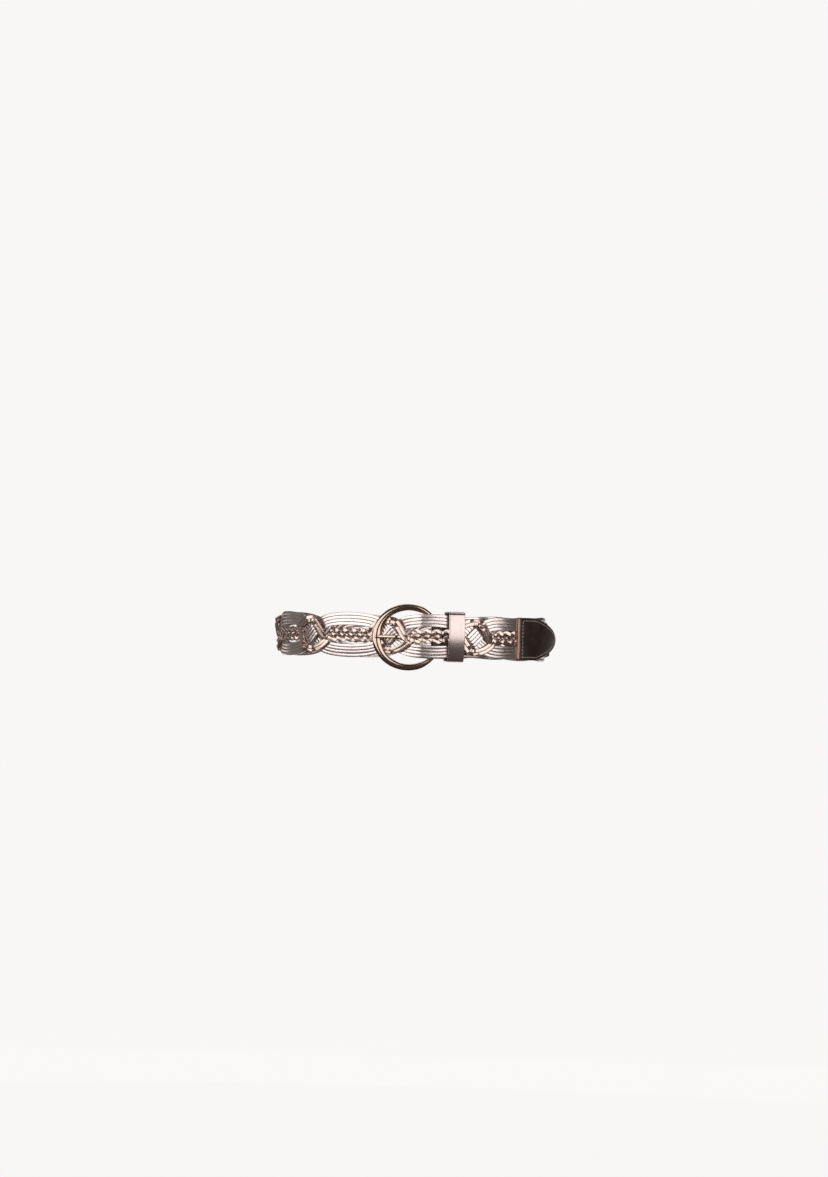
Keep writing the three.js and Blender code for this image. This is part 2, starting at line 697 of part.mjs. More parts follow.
// The buckle is drawn flat in its own plane, and turned to lie on the strap.
const buckle = new THREE.Group();
buckle.position.copy(ringCentre);
buckle.rotation.z = Math.atan2(ringDirection.y, ringDirection.x);
buckle.add(piece("buckle_frame", buckleFrameGeometry(), "polishedMetal"));

const belt = new THREE.Group();
belt.add(strap, keeper, buckle, piece("buckle_prong", prongGeometry(), "polishedMetal"));

export default belt;
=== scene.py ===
"""Looks of a braided leather waist belt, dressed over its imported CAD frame.

Lengths are metres. A point of the strap is given by its place along the waist, measured from the front's
centre and positive to the viewer's right, its height, and its depth outwards from the waist's oval.
"""

import bisect
import json
import logging
import math
from dataclasses import dataclass, field
from enum import Enum
from typing import Any, Callable, Sequence

import bmesh
import bpy
from mathutils import Matrix, Vector, noise

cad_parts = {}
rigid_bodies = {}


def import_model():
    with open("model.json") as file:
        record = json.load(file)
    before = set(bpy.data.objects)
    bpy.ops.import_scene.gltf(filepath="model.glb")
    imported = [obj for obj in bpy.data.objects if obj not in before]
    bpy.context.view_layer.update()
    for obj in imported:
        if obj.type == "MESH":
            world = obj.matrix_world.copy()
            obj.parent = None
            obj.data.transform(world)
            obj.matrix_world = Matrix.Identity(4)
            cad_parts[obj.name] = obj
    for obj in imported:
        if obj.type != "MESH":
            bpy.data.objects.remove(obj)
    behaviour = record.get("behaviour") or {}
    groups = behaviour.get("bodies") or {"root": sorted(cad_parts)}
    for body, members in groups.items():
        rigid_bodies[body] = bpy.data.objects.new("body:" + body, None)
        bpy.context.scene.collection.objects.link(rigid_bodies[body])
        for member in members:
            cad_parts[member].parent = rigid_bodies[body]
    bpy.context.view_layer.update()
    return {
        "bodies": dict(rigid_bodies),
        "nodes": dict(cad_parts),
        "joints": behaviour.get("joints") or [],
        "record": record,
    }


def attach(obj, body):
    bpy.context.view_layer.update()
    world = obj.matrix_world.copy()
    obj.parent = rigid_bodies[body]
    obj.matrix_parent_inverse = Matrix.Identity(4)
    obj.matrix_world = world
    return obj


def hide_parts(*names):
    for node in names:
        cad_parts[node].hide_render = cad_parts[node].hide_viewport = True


LOG = logging.getLogger("belt")
MM = 0.001
BODY = "root"
# Numbers of the colour sockets of Blender's mix node.
COLOUR_A, COLOUR_B, COLOUR_OUT = 6, 7, 2
Tree = bpy.types.NodeTree
Socket = bpy.types.NodeSocket


def linear(code: str) -> tuple[float, float, float, float]:
    """Turns an sRGB hex colour into a linear one.

    Args:
        code: colour as "#rrggbb".

    Returns:
        Linear red, green and blue, and alpha 1.
    """
    values = [int(code[i : i + 2], 16) / 255 for i in (1, 3, 5)]
    red, green, blue = (v / 12.92 if v <= 0.04045 else ((v + 0.055) / 1.055) ** 2.4 for v in values)
    return red, green, blue, 1.0


def smoothstep(value: float, low: float, high: float) -> float:
    """Eases from 0 at low to 1 at high."""
    share = min(1.0, max(0.0, (value - low) / (high - low)))
    return share * share * (3 - 2 * share)


def mix(a: float, b: float, share: float) -> float:
    """Goes straight from a at share 0 to b at share 1."""
    return a + (b - a) * share


def squared_off(value: float, power: float) -> float:
    """Raises a sine or cosine to a power and keeps its sign, which squares off a round section."""
    return math.copysign(abs(value) ** power, value)


def wander(seed: float, position: float) -> float:
    """Smooth noise from -1 to 1, the same on each run.

    Args:
        seed: number of the noise line.
        position: place on the line, with one wave to about each unit.

    Returns:
        The noise there.
    """
    return noise.noise(Vector((position, 7.31 * seed, 3.17 + seed)))


def add_node(tree: Tree, kind: str, links: dict | None = None, **settings: Any) -> bpy.types.Node:
    """Adds a node with its settings and links.

    Args:
        tree: node tree that gets the node.
        kind: Blender's name for the node's type.
        links: value or output socket for each input socket, by name or number.
        settings: the node's own settings.

    Returns:
        The new node.
    """
    made = tree.nodes.new(kind)
    for key, value in settings.items():
        setattr(made, key, value)
    for key, value in (links or {}).items():
        if isinstance(value, Socket):
            tree.links.new(value, made.inputs[key])
        else:
            made.inputs[key].default_value = value
    return made


def show(mesh: bpy.types.Mesh, name: str, material: bpy.types.Material | None = None) -> bpy.types.Object:
    """Puts a mesh into the scene as a smooth object at the origin.

    Args:
        mesh: mesh in its place.
        name: the object's name.
        material: its finish, or None where the mesh has it already.

    Returns:
        The new object.
    """
    mesh.name = name
    if material is not None:
        mesh.materials.clear()
        mesh.materials.append(material)
    mesh.shade_smooth()
    made = bpy.data.objects.new(name, mesh)
    bpy.context.scene.collection.objects.link(made)
    return made


def loft(name: str, rings: Sequence[Sequence[Vector]], closed: bool = False) -> bpy.types.Mesh:
    """Joins rings of points into one closed surface whose faces point outwards.

    Args:
        name: the mesh's name.
        rings: rings of the same number of points.
        closed: True if the last ring joins the first one; otherwise both ends get a cap.

    Returns:
        The new mesh.
    """
    count = len(rings[0])
    shape = bmesh.new()
    points = [[shape.verts.new(point) for point in ring] for ring in rings]
    pairs = list(zip(points, points[1:])) + ([(points[-1], points[0])] if closed else [])
    for here, there in pairs:
        for i in range(count):
            j = (i + 1) % count
            shape.faces.new((here[i], here[j], there[j], there[i]))
    if not closed:
        shape.faces.new(points[0])
        shape.faces.new(points[-1])
    bmesh.ops.recalc_face_normals(shape, faces=shape.faces)
    mesh = bpy.data.meshes.new(name)
    shape.to_mesh(mesh)
    shape.free()
    return mesh


def finish_piece(piece: bpy.types.Object, slot: str, *nodes: str) -> bpy.types.Object:
    """Rides a piece on the belt's body, hides the CAD nodes that it stands for, and logs them with its slot.

    Args:
        piece: the finished piece.
        slot: the record's material slot.
        nodes: CAD nodes that the piece replaces.

    Returns:
        The same piece.
    """
    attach(piece, BODY)
    if nodes:
        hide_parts(*nodes)
    faces = len(piece.data.polygons)
    LOG.info("%s: %d faces, slot %s, replaces %s", piece.name, faces, slot, ", ".join(nodes) or "nothing")
    return piece


class Follow(Enum):
    """What a leather pattern follows: the lace's own length, or the place on the object."""

    LACE = "flow"
    OBJECT = "object"


def pattern_place(tree: Tree, follow: Follow) -> Socket:
    """Gives the socket with the coordinates, in metres, that a pattern follows."""
    if follow is Follow.LACE:
        return add_node(tree, "ShaderNodeAttribute", attribute_name=follow.value).outputs["Vector"]
    return add_node(tree, "ShaderNodeTexCoord").outputs["Object"]


def new_material(name: str) -> tuple[bpy.types.Material, Tree]:
    """Makes an empty node material.

    Args:
        name: the material's name.

    Returns:
        The material and its node tree.
    """
    material = bpy.data.materials.new(name)
    material.use_nodes = True
    material.node_tree.nodes.clear()
    return material, material.node_tree


def clouds(tree: Tree, place: Socket, size: float, detail: float) -> Socket:
    """Adds soft noise with spots of a given size."""
    links = {"Vector": place, "Scale": 1 / size, "Detail": detail}
    return add_node(tree, "ShaderNodeTexNoise", links).outputs[0]


def blend(tree: Tree, share: Socket, first: Socket | tuple, second: Socket | tuple) -> Socket:
    """Mixes two colours, from the first at share 0 to the second at share 1."""
    links = {0: share, COLOUR_A: first, COLOUR_B: second}
    return add_node(tree, "ShaderNodeMix", links, data_type="RGBA").outputs[COLOUR_OUT]


def spread(tree: Tree, value: Socket, ends: dict[str, float]) -> Socket:
    """Maps a value to another range. The ends that aren't given are 0 and 1."""
    return add_node(tree, "ShaderNodeMapRange", {"Value": value, **ends}).outputs[0]


def bump(tree: Tree, height: Socket, strength: float, distance: float, links: dict | None = None) -> Socket:
    """Tilts the surface by a height pattern."""
    links = {"Height": height, "Strength": strength, "Distance": distance, **(links or {})}
    return add_node(tree, "ShaderNodeBump", links).outputs[0]


def coat(tree: Tree, links: dict) -> None:
    """Ends a material with its surface."""
    skin = add_node(tree, "ShaderNodeBsdfPrincipled", links)
    add_node(tree, "ShaderNodeOutputMaterial", {"Surface": skin.outputs[0]})


@dataclass(frozen=True)
class FoilLeather:
    """Cowhide with a rose metallic foil pressed on and lightly crinkled.

    The foil mirrors softly, so crests look pale pink and hollows go brown. Where the leather bends, the foil
    is thin and the brown hide shows.
    """

    name: str
    foil: str = "#efe4e0"
    bloom: str = "#d3c1bc"
    hide: str = "#6a4c40"
    wear: float = 0.14
    metallic: float = 0.92
    roughness: float = 0.21
    relief: float = 0.06 * MM
    follow: Follow = Follow.LACE
    patch: float = 9 * MM
    crinkle: float = 1.1 * MM
    grain: float = 0.45 * MM

    def build(self) -> bpy.types.Material:
        """Makes the material."""
        material, tree = new_material(self.name)
        place = pattern_place(tree, self.follow)
        patches = clouds(tree, place, self.patch, 2.0)
        drawn = add_node(tree, "ShaderNodeMapping", {"Vector": place, "Scale": (1.0, 1.0, 0.35)})
        crinkles = clouds(tree, drawn.outputs[0], self.crinkle, 3.0)
        grain = add_node(tree, "ShaderNodeTexVoronoi", {"Vector": place, "Scale": 1 / self.grain})
        tone = blend(tree, patches, linear(self.foil), linear(self.bloom))
        thin = spread(tree, crinkles, {"From Min": 0.56, "From Max": 0.76, "To Max": self.wear})
        worn = blend(tree, thin, tone, linear(self.hide))
        gloss = spread(tree, crinkles, {"To Min": self.roughness - 0.03, "To Max": self.roughness + 0.07})
        pores = bump(tree, grain.outputs["Distance"], 0.2, 0.03 * MM)
        bent = bump(tree, crinkles, 0.3, self.relief, {"Normal": pores})
        coat(tree, {"Base Color": worn, "Roughness": gloss, "Normal": bent, "Metallic": self.metallic})
        return material


@dataclass(frozen=True)
class GlazedLeather:
    """Dark brown calf leather, dyed through and polished with glass.

    It shines softly like satin, with fine pores, and turns a little redder where it is rubbed.
    """

    name: str
    dye: str = "#382a26"
    rubbed: str = "#503d35"
    roughness: float = 0.34
    pore: float = 0.8 * MM
    cloud: float = 12 * MM

    def build(self) -> bpy.types.Material:
        """Makes the material."""
        material, tree = new_material(self.name)
        place = pattern_place(tree, Follow.OBJECT)
        cloud = clouds(tree, place, self.cloud, 4.0)
        shade = spread(tree, cloud, {"From Min": 0.4, "From Max": 0.75})
        tone = blend(tree, shade, linear(self.dye), linear(self.rubbed))
        cells = {"Vector": place, "Scale": 1 / self.pore}
        pores = add_node(tree, "ShaderNodeTexVoronoi", cells, feature="DISTANCE_TO_EDGE")
        grain = spread(tree, pores.outputs["Distance"], {"From Max": 0.16})
        dents = bump(tree, grain, 0.35, 0.08 * MM)
        gloss = spread(tree, cloud, {"To Min": self.roughness - 0.08, "To Max": self.roughness + 0.12})
        coat(tree, {"Base Color": tone, "Roughness": gloss, "Normal": dents})
        return material


@dataclass(frozen=True)
class CutEdgeLeather:
    """Bare cut edge of vegetable tanned leather, waxed by hand. It is tan, fibrous and nearly matt."""

    name: str
    tan: str = "#f0cbb6"
    fibre: str = "#c4957e"
    roughness: float = 0.55
    strand: float = 0.7 * MM

    def build(self) -> bpy.types.Material:
        """Makes the material."""
        material, tree = new_material(self.name)
        place = pattern_place(tree, Follow.OBJECT)
        fibres = clouds(tree, place, self.strand, 4.0)
        share = spread(tree, fibres, {"From Min": 0.35, "From Max": 0.8})
        tone = blend(tree, share, linear(self.tan), linear(self.fibre))
        nap = bump(tree, fibres, 0.5, 0.15 * MM)
        coat(tree, {"Base Color": tone, "Roughness": self.roughness, "Normal": nap})
        return material


@dataclass(frozen=True)
class PolishedPlate:
    """Zinc alloy casting, polished and plated in pale rose gold.

    It is a clean mirror with hair-fine buffing marks, drawn coarser than the real ones so that they show.
    """

    name: str
    plate: str = "#cdb8a8"
    deep: str = "#bba18e"
    roughness: float = 0.1
    marks: float = 0.9 * MM

    def build(self) -> bpy.types.Material:
        """Makes the material."""
        material, tree = new_material(self.name)
        place = pattern_place(tree, Follow.OBJECT)
        marks = clouds(tree, place, self.marks, 5.0)
        gloss = spread(tree, marks, {"To Min": self.roughness - 0.02, "To Max": self.roughness + 0.04})
        tone = blend(tree, marks, linear(self.plate), linear(self.deep))
        coat(tree, {"Base Color": tone, "Roughness": gloss, "Metallic": 1.0})
        return material


@dataclass(frozen=True)
class WaxedThread:
    """Waxed linen sewing thread, beige and slightly shiny.

    Its twist is too fine to show as more than tone.
    """

    name: str
    linen: str = "#e4d7ca"
    shade: str = "#b5a392"
    twist: float = 0.5 * MM

    def build(self) -> bpy.types.Material:
        """Makes the material."""
        material, tree = new_material(self.name)
        place = pattern_place(tree, Follow.OBJECT)
        twist = clouds(tree, place, self.twist, 2.0)
        tone = blend(tree, twist, linear(self.linen), linear(self.shade))
        coat(tree, {"Base Color": tone, "Roughness": 0.6})
        return material


@dataclass
class WaistPath:
    """The oval round the waist that the strap's inner face follows."""

    width: float = 232 * MM
    depth: float = 174 * MM
    steps: int = 2880
    lengths: list[float] = field(init=False)

    def __post_init__(self) -> None:
        """Measures the oval's length from the front's centre."""
        corners = [self.corner(i) for i in range(self.steps + 1)]
        self.lengths = [0.0]
        for a, b in zip(corners, corners[1:]):
            self.lengths.append(self.lengths[-1] + (b - a).length)

    def corner(self, step: float) -> Vector:
        """Point of the oval at a step from the front's centre."""
        angle = 2 * math.pi * step / self.steps - math.pi / 2
        return Vector((self.width / 2 * math.cos(angle), self.depth / 2 * math.sin(angle), 0))

    @property
    def length(self) -> float:
        """Length once round."""
        return self.lengths[-1]

    def outward(self, place: float) -> Vector:
        """Level direction out of the waist at a place."""
        foot = self.foot(place)
        return Vector((foot.x / self.width**2, foot.y / self.depth**2, 0)).normalized()

    def foot(self, place: float) -> Vector:
        """Point of the oval at a place along it."""
        target = place % self.length
        after = min(self.steps, max(1, bisect.bisect_left(self.lengths, target)))
        before = self.lengths[after - 1]
        return self.corner(after - 1 + (target - before) / (self.lengths[after] - before))

    def point(self, place: float, height: float, depth: float) -> Vector:
        """Point of the strap.

        Args:
            place: length along the waist from the front's centre.
            height: height over the strap's middle.
            depth: how far it stands out from the waist.

        Returns:
            The point in the row's frame.
        """
        made = self.foot(place) + depth * self.outward(place)
        made.z = height
        return made

    def place_at(self, x: float, depth: float) -> float:
        """Place on the front whose point at a depth has a given x."""
        place = x
        for _ in range(12):
            place += x - self.point(place, 0, depth).x
        return place


class Side(Enum):
    """Half of the strap's height."""

    UPPER = 1
    LOWER = -1


@dataclass
class Strand:
    """One lace: its middle line, the outward direction at each point, and its width as a share."""

    points: list[Vector] = field(default_factory=list)
    outs: list[Vector] = field(default_factory=list)
    shares: list[float] = field(default_factory=list)


# A branch's line round a knot: length from the knot's centre, and height.
BRANCH_LINE = [
    (at * MM, height * MM)
    for at, height in (
        (-26, -4.4),
        (-22, -3.4),
        (-18.5, 0.6),
        (-15, 6.0),
        (-10, 10.2),
        (-4, 12.7),
        (1.5, 13.2),
        (4.5, 12.0),
        (8, 7.0),
        (11.5, 1.0),
        (15, -3.4),
        (18.5, -4.6),
        (24, -4.6),
    )
]


@dataclass
class BraidLayout:
    """How the twelve laces run: two ribbons that swap edges at each knot, and a braid between them."""

    path: WaistPath
    lace_width: float = 2.8 * MM
    lace_thickness: float = 2.0 * MM
    crossing_gap: float = 0.9 * MM
    clearance: float = 0.3 * MM
    ribbon_laces: int = 4
    lens_height: float = 39.2 * MM
    neck_height: float = 35.4 * MM
    knot_pitch: float = 74 * MM
    crossing_length: float = 10.3 * MM
    buckle_knot: float = -19.5 * MM
    free_knot: float = 50.6 * MM
    core_thickness: float = 4.0 * MM
    core_wave: float = 5.0 * MM
    core_bit: float = 8.1 * MM
    core_from_knot: float = 16.0 * MM
    fold_wall: float = 1.6 * MM
    fold_end: float = 46 * MM
    strap_start: float = 26 * MM
    tip_start: float = 93 * MM
    tip_lace_end: float = 104.4 * MM
    rise_from: float = -26 * MM
    rise_to: float = 8 * MM
    overlap_rise: float = 8.4 * MM
    knots: list[float] = field(init=False)

    def __post_init__(self) -> None:
        """Places the knots from the bar's end to the free end."""
        self.knots = [self.free_knot]
        place = self.buckle_knot
        while place > self.back_end + self.knot_pitch / 2:
            self.knots.insert(0, place)
            place -= self.knot_pitch

    @property
    def back_end(self) -> float:
        """Place where the laces end at the bar."""
        return self.strap_start - self.path.length

    @property
    def fold_mouth(self) -> float:
        """Place where the laces leave the fold."""
        return self.fold_end - self.path.length

    @property
    def lift(self) -> float:
        """How far one band is raised to pass over another."""
        return self.lace_thickness + self.crossing_gap

    @property
    def ribbon_width(self) -> float:
        """Width of four laces side by side."""
        return self.ribbon_laces * self.lace_width

    def stand_off(self, place: float) -> float:
        """How far the strap's inner face stands off the waist."""
        over = self.overlap_rise * smoothstep(place, self.rise_from, self.rise_to)
        mouth_from = self.fold_mouth + 2 * self.lace_width
        mouth_to = self.fold_mouth + self.ribbon_width + 4 * self.lace_width
        return over + (self.fold_wall + self.clearance) * (1 - smoothstep(place, mouth_from, mouth_to))

    def nearest_knot(self, place: float) -> int:
        """Number of the knot nearest to a place."""
        return min(range(len(self.knots)), key=lambda i: abs(place - self.knots[i]))

    def ribbon_height(self, ribbon: int, place: float) -> float:
        """Height of a ribbon's middle line. Ribbon 0 starts above and ribbon 1 below."""
        i = self.nearest_knot(place)
        offset = place - self.knots[i]
        ends = [self.fold_mouth, *self.knots, self.tip_start]
        span = abs(ends[i + 2 if offset > 0 else i] - self.knots[i])
        neck = (self.neck_height - self.ribbon_width) / 2
        bow = (self.lens_height - self.neck_height) / 2 * min(1, (span / self.knot_pitch) ** 2)
        bow *= math.sin(math.pi * min(abs(offset), span) / span) ** 2
        reach = neck * math.tanh(abs(offset) / self.crossing_length) + bow
        passed = i + 1 if offset > 0 else i
        return reach if (passed + ribbon) % 2 == 0 else -reach

    def slope(self, height_at: Callable[[float], float], place: float) -> float:
        """Rise of a line's height for each metre along the strap."""
        step = 0.05 * MM
        return (height_at(place + step) - height_at(place - step)) / (2 * step)

    def cover(self, ribbon: int, place: float, height: float, margin: float) -> float:
        """1 over a ribbon, easing to 0 at a margin beyond its edge."""
        rise = self.slope(lambda p: self.ribbon_height(ribbon, p), place)
        away = abs(height - self.ribbon_height(ribbon, place)) / math.hypot(1, rise)
        return 1 - smoothstep(away, self.ribbon_width / 2, self.ribbon_width / 2 + margin)

    def rising_ribbon(self, place: float) -> int:
        """The ribbon that comes from below at the nearest knot, and passes over the other."""
        return (self.nearest_knot(place) + 1) % 2

    def ribbon_lift(self, ribbon: int, place: float, height: float) -> float:
        """How far a ribbon's lace is raised at a point."""
        if ribbon != self.rising_ribbon(place):
            return 0.0
        return self.lift * self.cover(1 - ribbon, place, height, 1.5 * self.lace_width)

    def branch_lift(self, place: float, height: float) -> float:
        """How far a branch's lace is raised at a point, to pass over the ribbons."""
        rising = self.rising_ribbon(place)
        margin = 1.9 * self.lace_width
        over_falling = self.cover(1 - rising, place, height, margin)
        over_rising = self.cover(rising, place, height, margin)
        return self.lift * max(over_falling, over_rising * (1 + over_falling))

    def branch_height(self, knot: float, side: Side, place: float) -> float:
        """Height of a branch's middle line at a knot.

        The upper branch leaves the braid's lower half on the left, climbs to its top right of the knot's
        centre, and drops steeply into the lower half again. The lower branch is the same, turned half round.

        Args:
            knot: the knot's place.
            side: the half where the branch passes the knot.
            place: place along the strap.

        Returns:
            The height.
        """
        offset = (place - knot) * side.value
        offsets = [at for at, _ in BRANCH_LINE]
        after = min(len(BRANCH_LINE) - 1, max(1, bisect.bisect_left(offsets, offset)))
        (a, low), (b, high) = BRANCH_LINE[after - 1], BRANCH_LINE[after]
        share = min(1.0, max(0.0, (offset - a) / (b - a)))
        before = BRANCH_LINE[max(0, after - 2)]
        beyond = BRANCH_LINE[min(len(BRANCH_LINE) - 1, after + 1)]
        leave = (high - before[1]) / (b - before[0]) * (b - a)
        arrive = (beyond[1] - low) / (beyond[0] - a) * (b - a)
        cubic = low + leave * share
        cubic += (3 * (high - low) - 2 * leave - arrive) * share**2
        cubic += (2 * (low - high) + leave + arrive) * share**3
        return side.value * cubic


def read(tree: Tree, name: str, kind: str) -> Socket:
    """Reads a named attribute of the geometry."""
    return add_node(tree, "GeometryNodeInputNamedAttribute", {"Name": name}, data_type=kind).outputs[0]


def store(tree: Tree, shape: Socket, name: str, value: Socket, kind: str) -> Socket:
    """Stores a named value on the points of the geometry."""
    links = {"Geometry": shape, "Name": name, "Value": value}
    made = add_node(tree, "GeometryNodeStoreNamedAttribute", links, data_type=kind, domain="POINT")
    return made.outputs[0]


def start_tree(name: str, inputs: dict[str, str]) -> tuple[Tree, bpy.types.Node, Socket]:
    """Starts a Geometry Nodes tree on a mesh of lines.

    Args:
        name: the tree's name.
        inputs: kind of socket for each named input beside the lines.

    Returns:
        The tree, its input node, and the lines as curves that face outwards.
    """
    tree = bpy.data.node_groups.new(name, "GeometryNodeTree")
    side = tree.interface.new_socket
    side("Geometry", in_out="INPUT", socket_type="NodeSocketGeometry")
    for label, kind in inputs.items():
        side(label, in_out="INPUT", socket_type=f"NodeSocket{kind}")
    side("Geometry", in_out="OUTPUT", socket_type="NodeSocketGeometry")
    given = add_node(tree, "NodeGroupInput")
    line = add_node(tree, "GeometryNodeMeshToCurve", {"Mesh": given.outputs["Geometry"]})
    links = {"Curve": line.outputs[0], "Normal": read(tree, "out", "FLOAT_VECTOR")}
    return tree, given, add_node(tree, "GeometryNodeSetCurveNormal", links, mode="FREE").outputs[0]


def end_tree(tree: Tree, shape: Socket, finish: Socket) -> None:
    """Ends a Geometry Nodes tree with real geometry in its finish."""
    real = add_node(tree, "GeometryNodeRealizeInstances", {0: shape})
    dressed = add_node(tree, "GeometryNodeSetMaterial", {"Geometry": real.outputs[0], "Material": finish})
    add_node(tree, "NodeGroupOutput", {0: dressed.outputs[0]})


@dataclass(frozen=True)
class LaceSweep:
    """Geometry Nodes tree that lays a rounded lace along each line of a mesh."""

    corner: float = 0.36 * MM
    corner_points: int = 3

    def tree(self) -> Tree:
        """Builds the tree, with the lace's width, thickness and corner, and its finish, as inputs."""
        kinds = {"Lace width": "Float", "Lace thickness": "Float", "Corner": "Float", "Finish": "Material"}
        tree, given, faced = start_tree("lay_laces", kinds)
        along = add_node(tree, "GeometryNodeSplineParameter")
        metred = store(tree, faced, "along", along.outputs["Length"], "FLOAT")
        box = add_node(
            tree,
            "GeometryNodeCurvePrimitiveQuadrilateral",
            {"Width": given.outputs["Lace thickness"], "Height": given.outputs["Lace width"]},
        )
        eased = add_node(
            tree,
            "GeometryNodeFilletCurve",
            {"Curve": box.outputs[0], "Count": self.corner_points, "Radius": given.outputs["Corner"]},
            mode="POLY",
        )
        where = add_node(tree, "GeometryNodeInputPosition")
        profile = store(tree, eased.outputs[0], "section", where.outputs[0], "FLOAT_VECTOR")
        share = read(tree, "share", "FLOAT")
        sweep = {"Curve": metred, "Profile Curve": profile, "Scale": share, "Fill Caps": True}
        swept = add_node(tree, "GeometryNodeCurveToMesh", sweep)
        split = add_node(tree, "ShaderNodeSeparateXYZ", {0: read(tree, "section", "FLOAT_VECTOR")}).outputs
        terms = {0: read(tree, "lace", "FLOAT"), 1: read(tree, "along", "FLOAT")}
        apart = add_node(tree, "ShaderNodeMath", terms, operation="ADD")
        joined = add_node(tree, "ShaderNodeCombineXYZ", {0: split[0], 1: split[1], 2: apart.outputs[0]})
        flow = store(tree, swept.outputs[0], Follow.LACE.value, joined.outputs[0], "FLOAT_VECTOR")
        end_tree(tree, flow, given.outputs["Finish"])
        return tree

    def run(
        self, name: str, strands: Sequence[Strand], width: float, thickness: float, finish: bpy.types.Material
    ) -> bpy.types.Object:
        """Lays laces and gives them as one plain mesh object.

        Args:
            name: the new piece's name.
            strands: the laces' lines.
            width: a lace's width.
            thickness: a lace's thickness.
            finish: the leather's material.

        Returns:
            The piece.
        """
        lines = lines_mesh(f"{name}_lines", strands)
        inputs = {"Lace width": width, "Lace thickness": thickness, "Corner": self.corner, "Finish": finish}
        return run_tree(name, lines, self.tree(), inputs)


def lines_mesh(name: str, strands: Sequence[Strand]) -> bpy.types.Mesh:
    """Makes a mesh of bare edges from strands, with their directions and shares as attributes."""
    points: list[Vector] = []
    edges: list[tuple[int, int]] = []
    outs: list[float] = []
    shares: list[float] = []
    numbers: list[float] = []
    for number, strand in enumerate(strands):
        first = len(points)
        points.extend(strand.points)
        edges.extend((i, i + 1) for i in range(first, len(points) - 1))
        outs.extend(value for out in strand.outs for value in out)
        shares.extend(strand.shares)
        numbers.extend([float(number)] * len(strand.points))
    mesh = bpy.data.meshes.new(name)
    mesh.from_pydata(points, edges, [])
    mesh.attributes.new("out", "FLOAT_VECTOR", "POINT").data.foreach_set("vector", outs)
    mesh.attributes.new("share", "FLOAT", "POINT").data.foreach_set("value", shares)
    mesh.attributes.new("lace", "FLOAT", "POINT").data.foreach_set("value", numbers)
    return mesh


def run_tree(name: str, source: bpy.types.Mesh, tree: Tree, inputs: dict[str, Any]) -> bpy.types.Object:
    """Runs a Geometry Nodes tree on a mesh, and gives the result as a plain mesh object.

    Args:
        name: the new piece's name.
        source: mesh that the tree starts from.
        tree: the node tree.
        inputs: a value for each named input of the tree.

    Returns:
        The piece.
    """
    carrier = bpy.data.objects.new(f"{name}_source", source)
    bpy.context.scene.collection.objects.link(carrier)
    modifier = carrier.modifiers.new("lay", "NODES")
    modifier.node_group = tree
    for socket in tree.interface.items_tree:
        if socket.item_type == "SOCKET" and socket.in_out == "INPUT" and socket.name in inputs:
            modifier[socket.identifier] = inputs[socket.name]
    evaluated = carrier.evaluated_get(bpy.context.evaluated_depsgraph_get())
    mesh = bpy.data.meshes.new_from_object(evaluated)
    bpy.data.objects.remove(carrier)
    bpy.data.meshes.remove(source)
    return show(mesh, name)


@dataclass
class RibbonLaces:
    """The two flat ribbons of four laces each."""

    layout: BraidLayout
    step: float = 0.9 * MM
    sway: float = 0.12 * MM
    roll: float = 0.06
    convex: float = 0.08

    def strand(self, ribbon: int, lane: int) -> Strand:
        """Line of one lace of a ribbon, with the small unevenness of handwork."""
        layout = self.layout
        start, end = layout.back_end + 0.2 * MM, layout.tip_lace_end
        count = round((end - start) / self.step)
        middle = (layout.ribbon_laces - 1) / 2
        seed = 10 * ribbon + lane + 1
        made = Strand()
        for i in range(count + 1):
            place = mix(start, end, i / count)
            tilt = math.atan(layout.slope(lambda p: layout.ribbon_height(ribbon, p), place))
            aside = (lane - middle) * layout.lace_width + self.sway * wander(seed, place / (17 * MM))
            along = place - aside * math.sin(tilt)
            height = layout.ribbon_height(ribbon, place) + aside * math.cos(tilt)
            lift = layout.ribbon_lift(ribbon, along, height)
            depth = layout.stand_off(along) + lift + layout.lace_thickness / 2
            depth += self.sway * wander(seed + 0.5, place / (11 * MM))
            made.points.append(layout.path.point(along, height, depth))
            out = layout.path.outward(along)
            turn = self.convex * height / (layout.lens_height / 2)
            turn += self.roll * wander(seed + 0.25, place / (23 * MM))
            up = Vector((0, 0, 1))
            made.outs.append((out * math.cos(turn) + up * math.sin(turn)).normalized())
            made.shares.append(1.03 + 0.02 * wander(seed + 0.75, place / (13 * MM)))
        return made

    def build(self, sweep: LaceSweep, finish: bpy.types.Material) -> None:
        """Makes both ribbons as pieces.

        Args:
            sweep: the tree that lays laces.
            finish: the laces' leather.
        """
        layout = self.layout
        for ribbon, node in enumerate(("ribbon_one", "ribbon_two")):
            strands = [self.strand(ribbon, lane) for lane in range(layout.ribbon_laces)]
            laces = sweep.run(f"{node}_laces", strands, layout.lace_width, layout.lace_thickness, finish)
            finish_piece(laces, "ribbon_leather", node)


@dataclass(frozen=True)
class Stretch:
    """A stretch of the braid between two knots: its ends, and the length of one lace's full wave."""

    start: float
    end: float
    wave: float

    def phase(self, number: int, place: float) -> float:
        """Phase of a lace of this stretch, in whole waves. At 0 it is at the upper edge."""
        return (place - self.start) / self.wave + 1 / 16 + number / 4


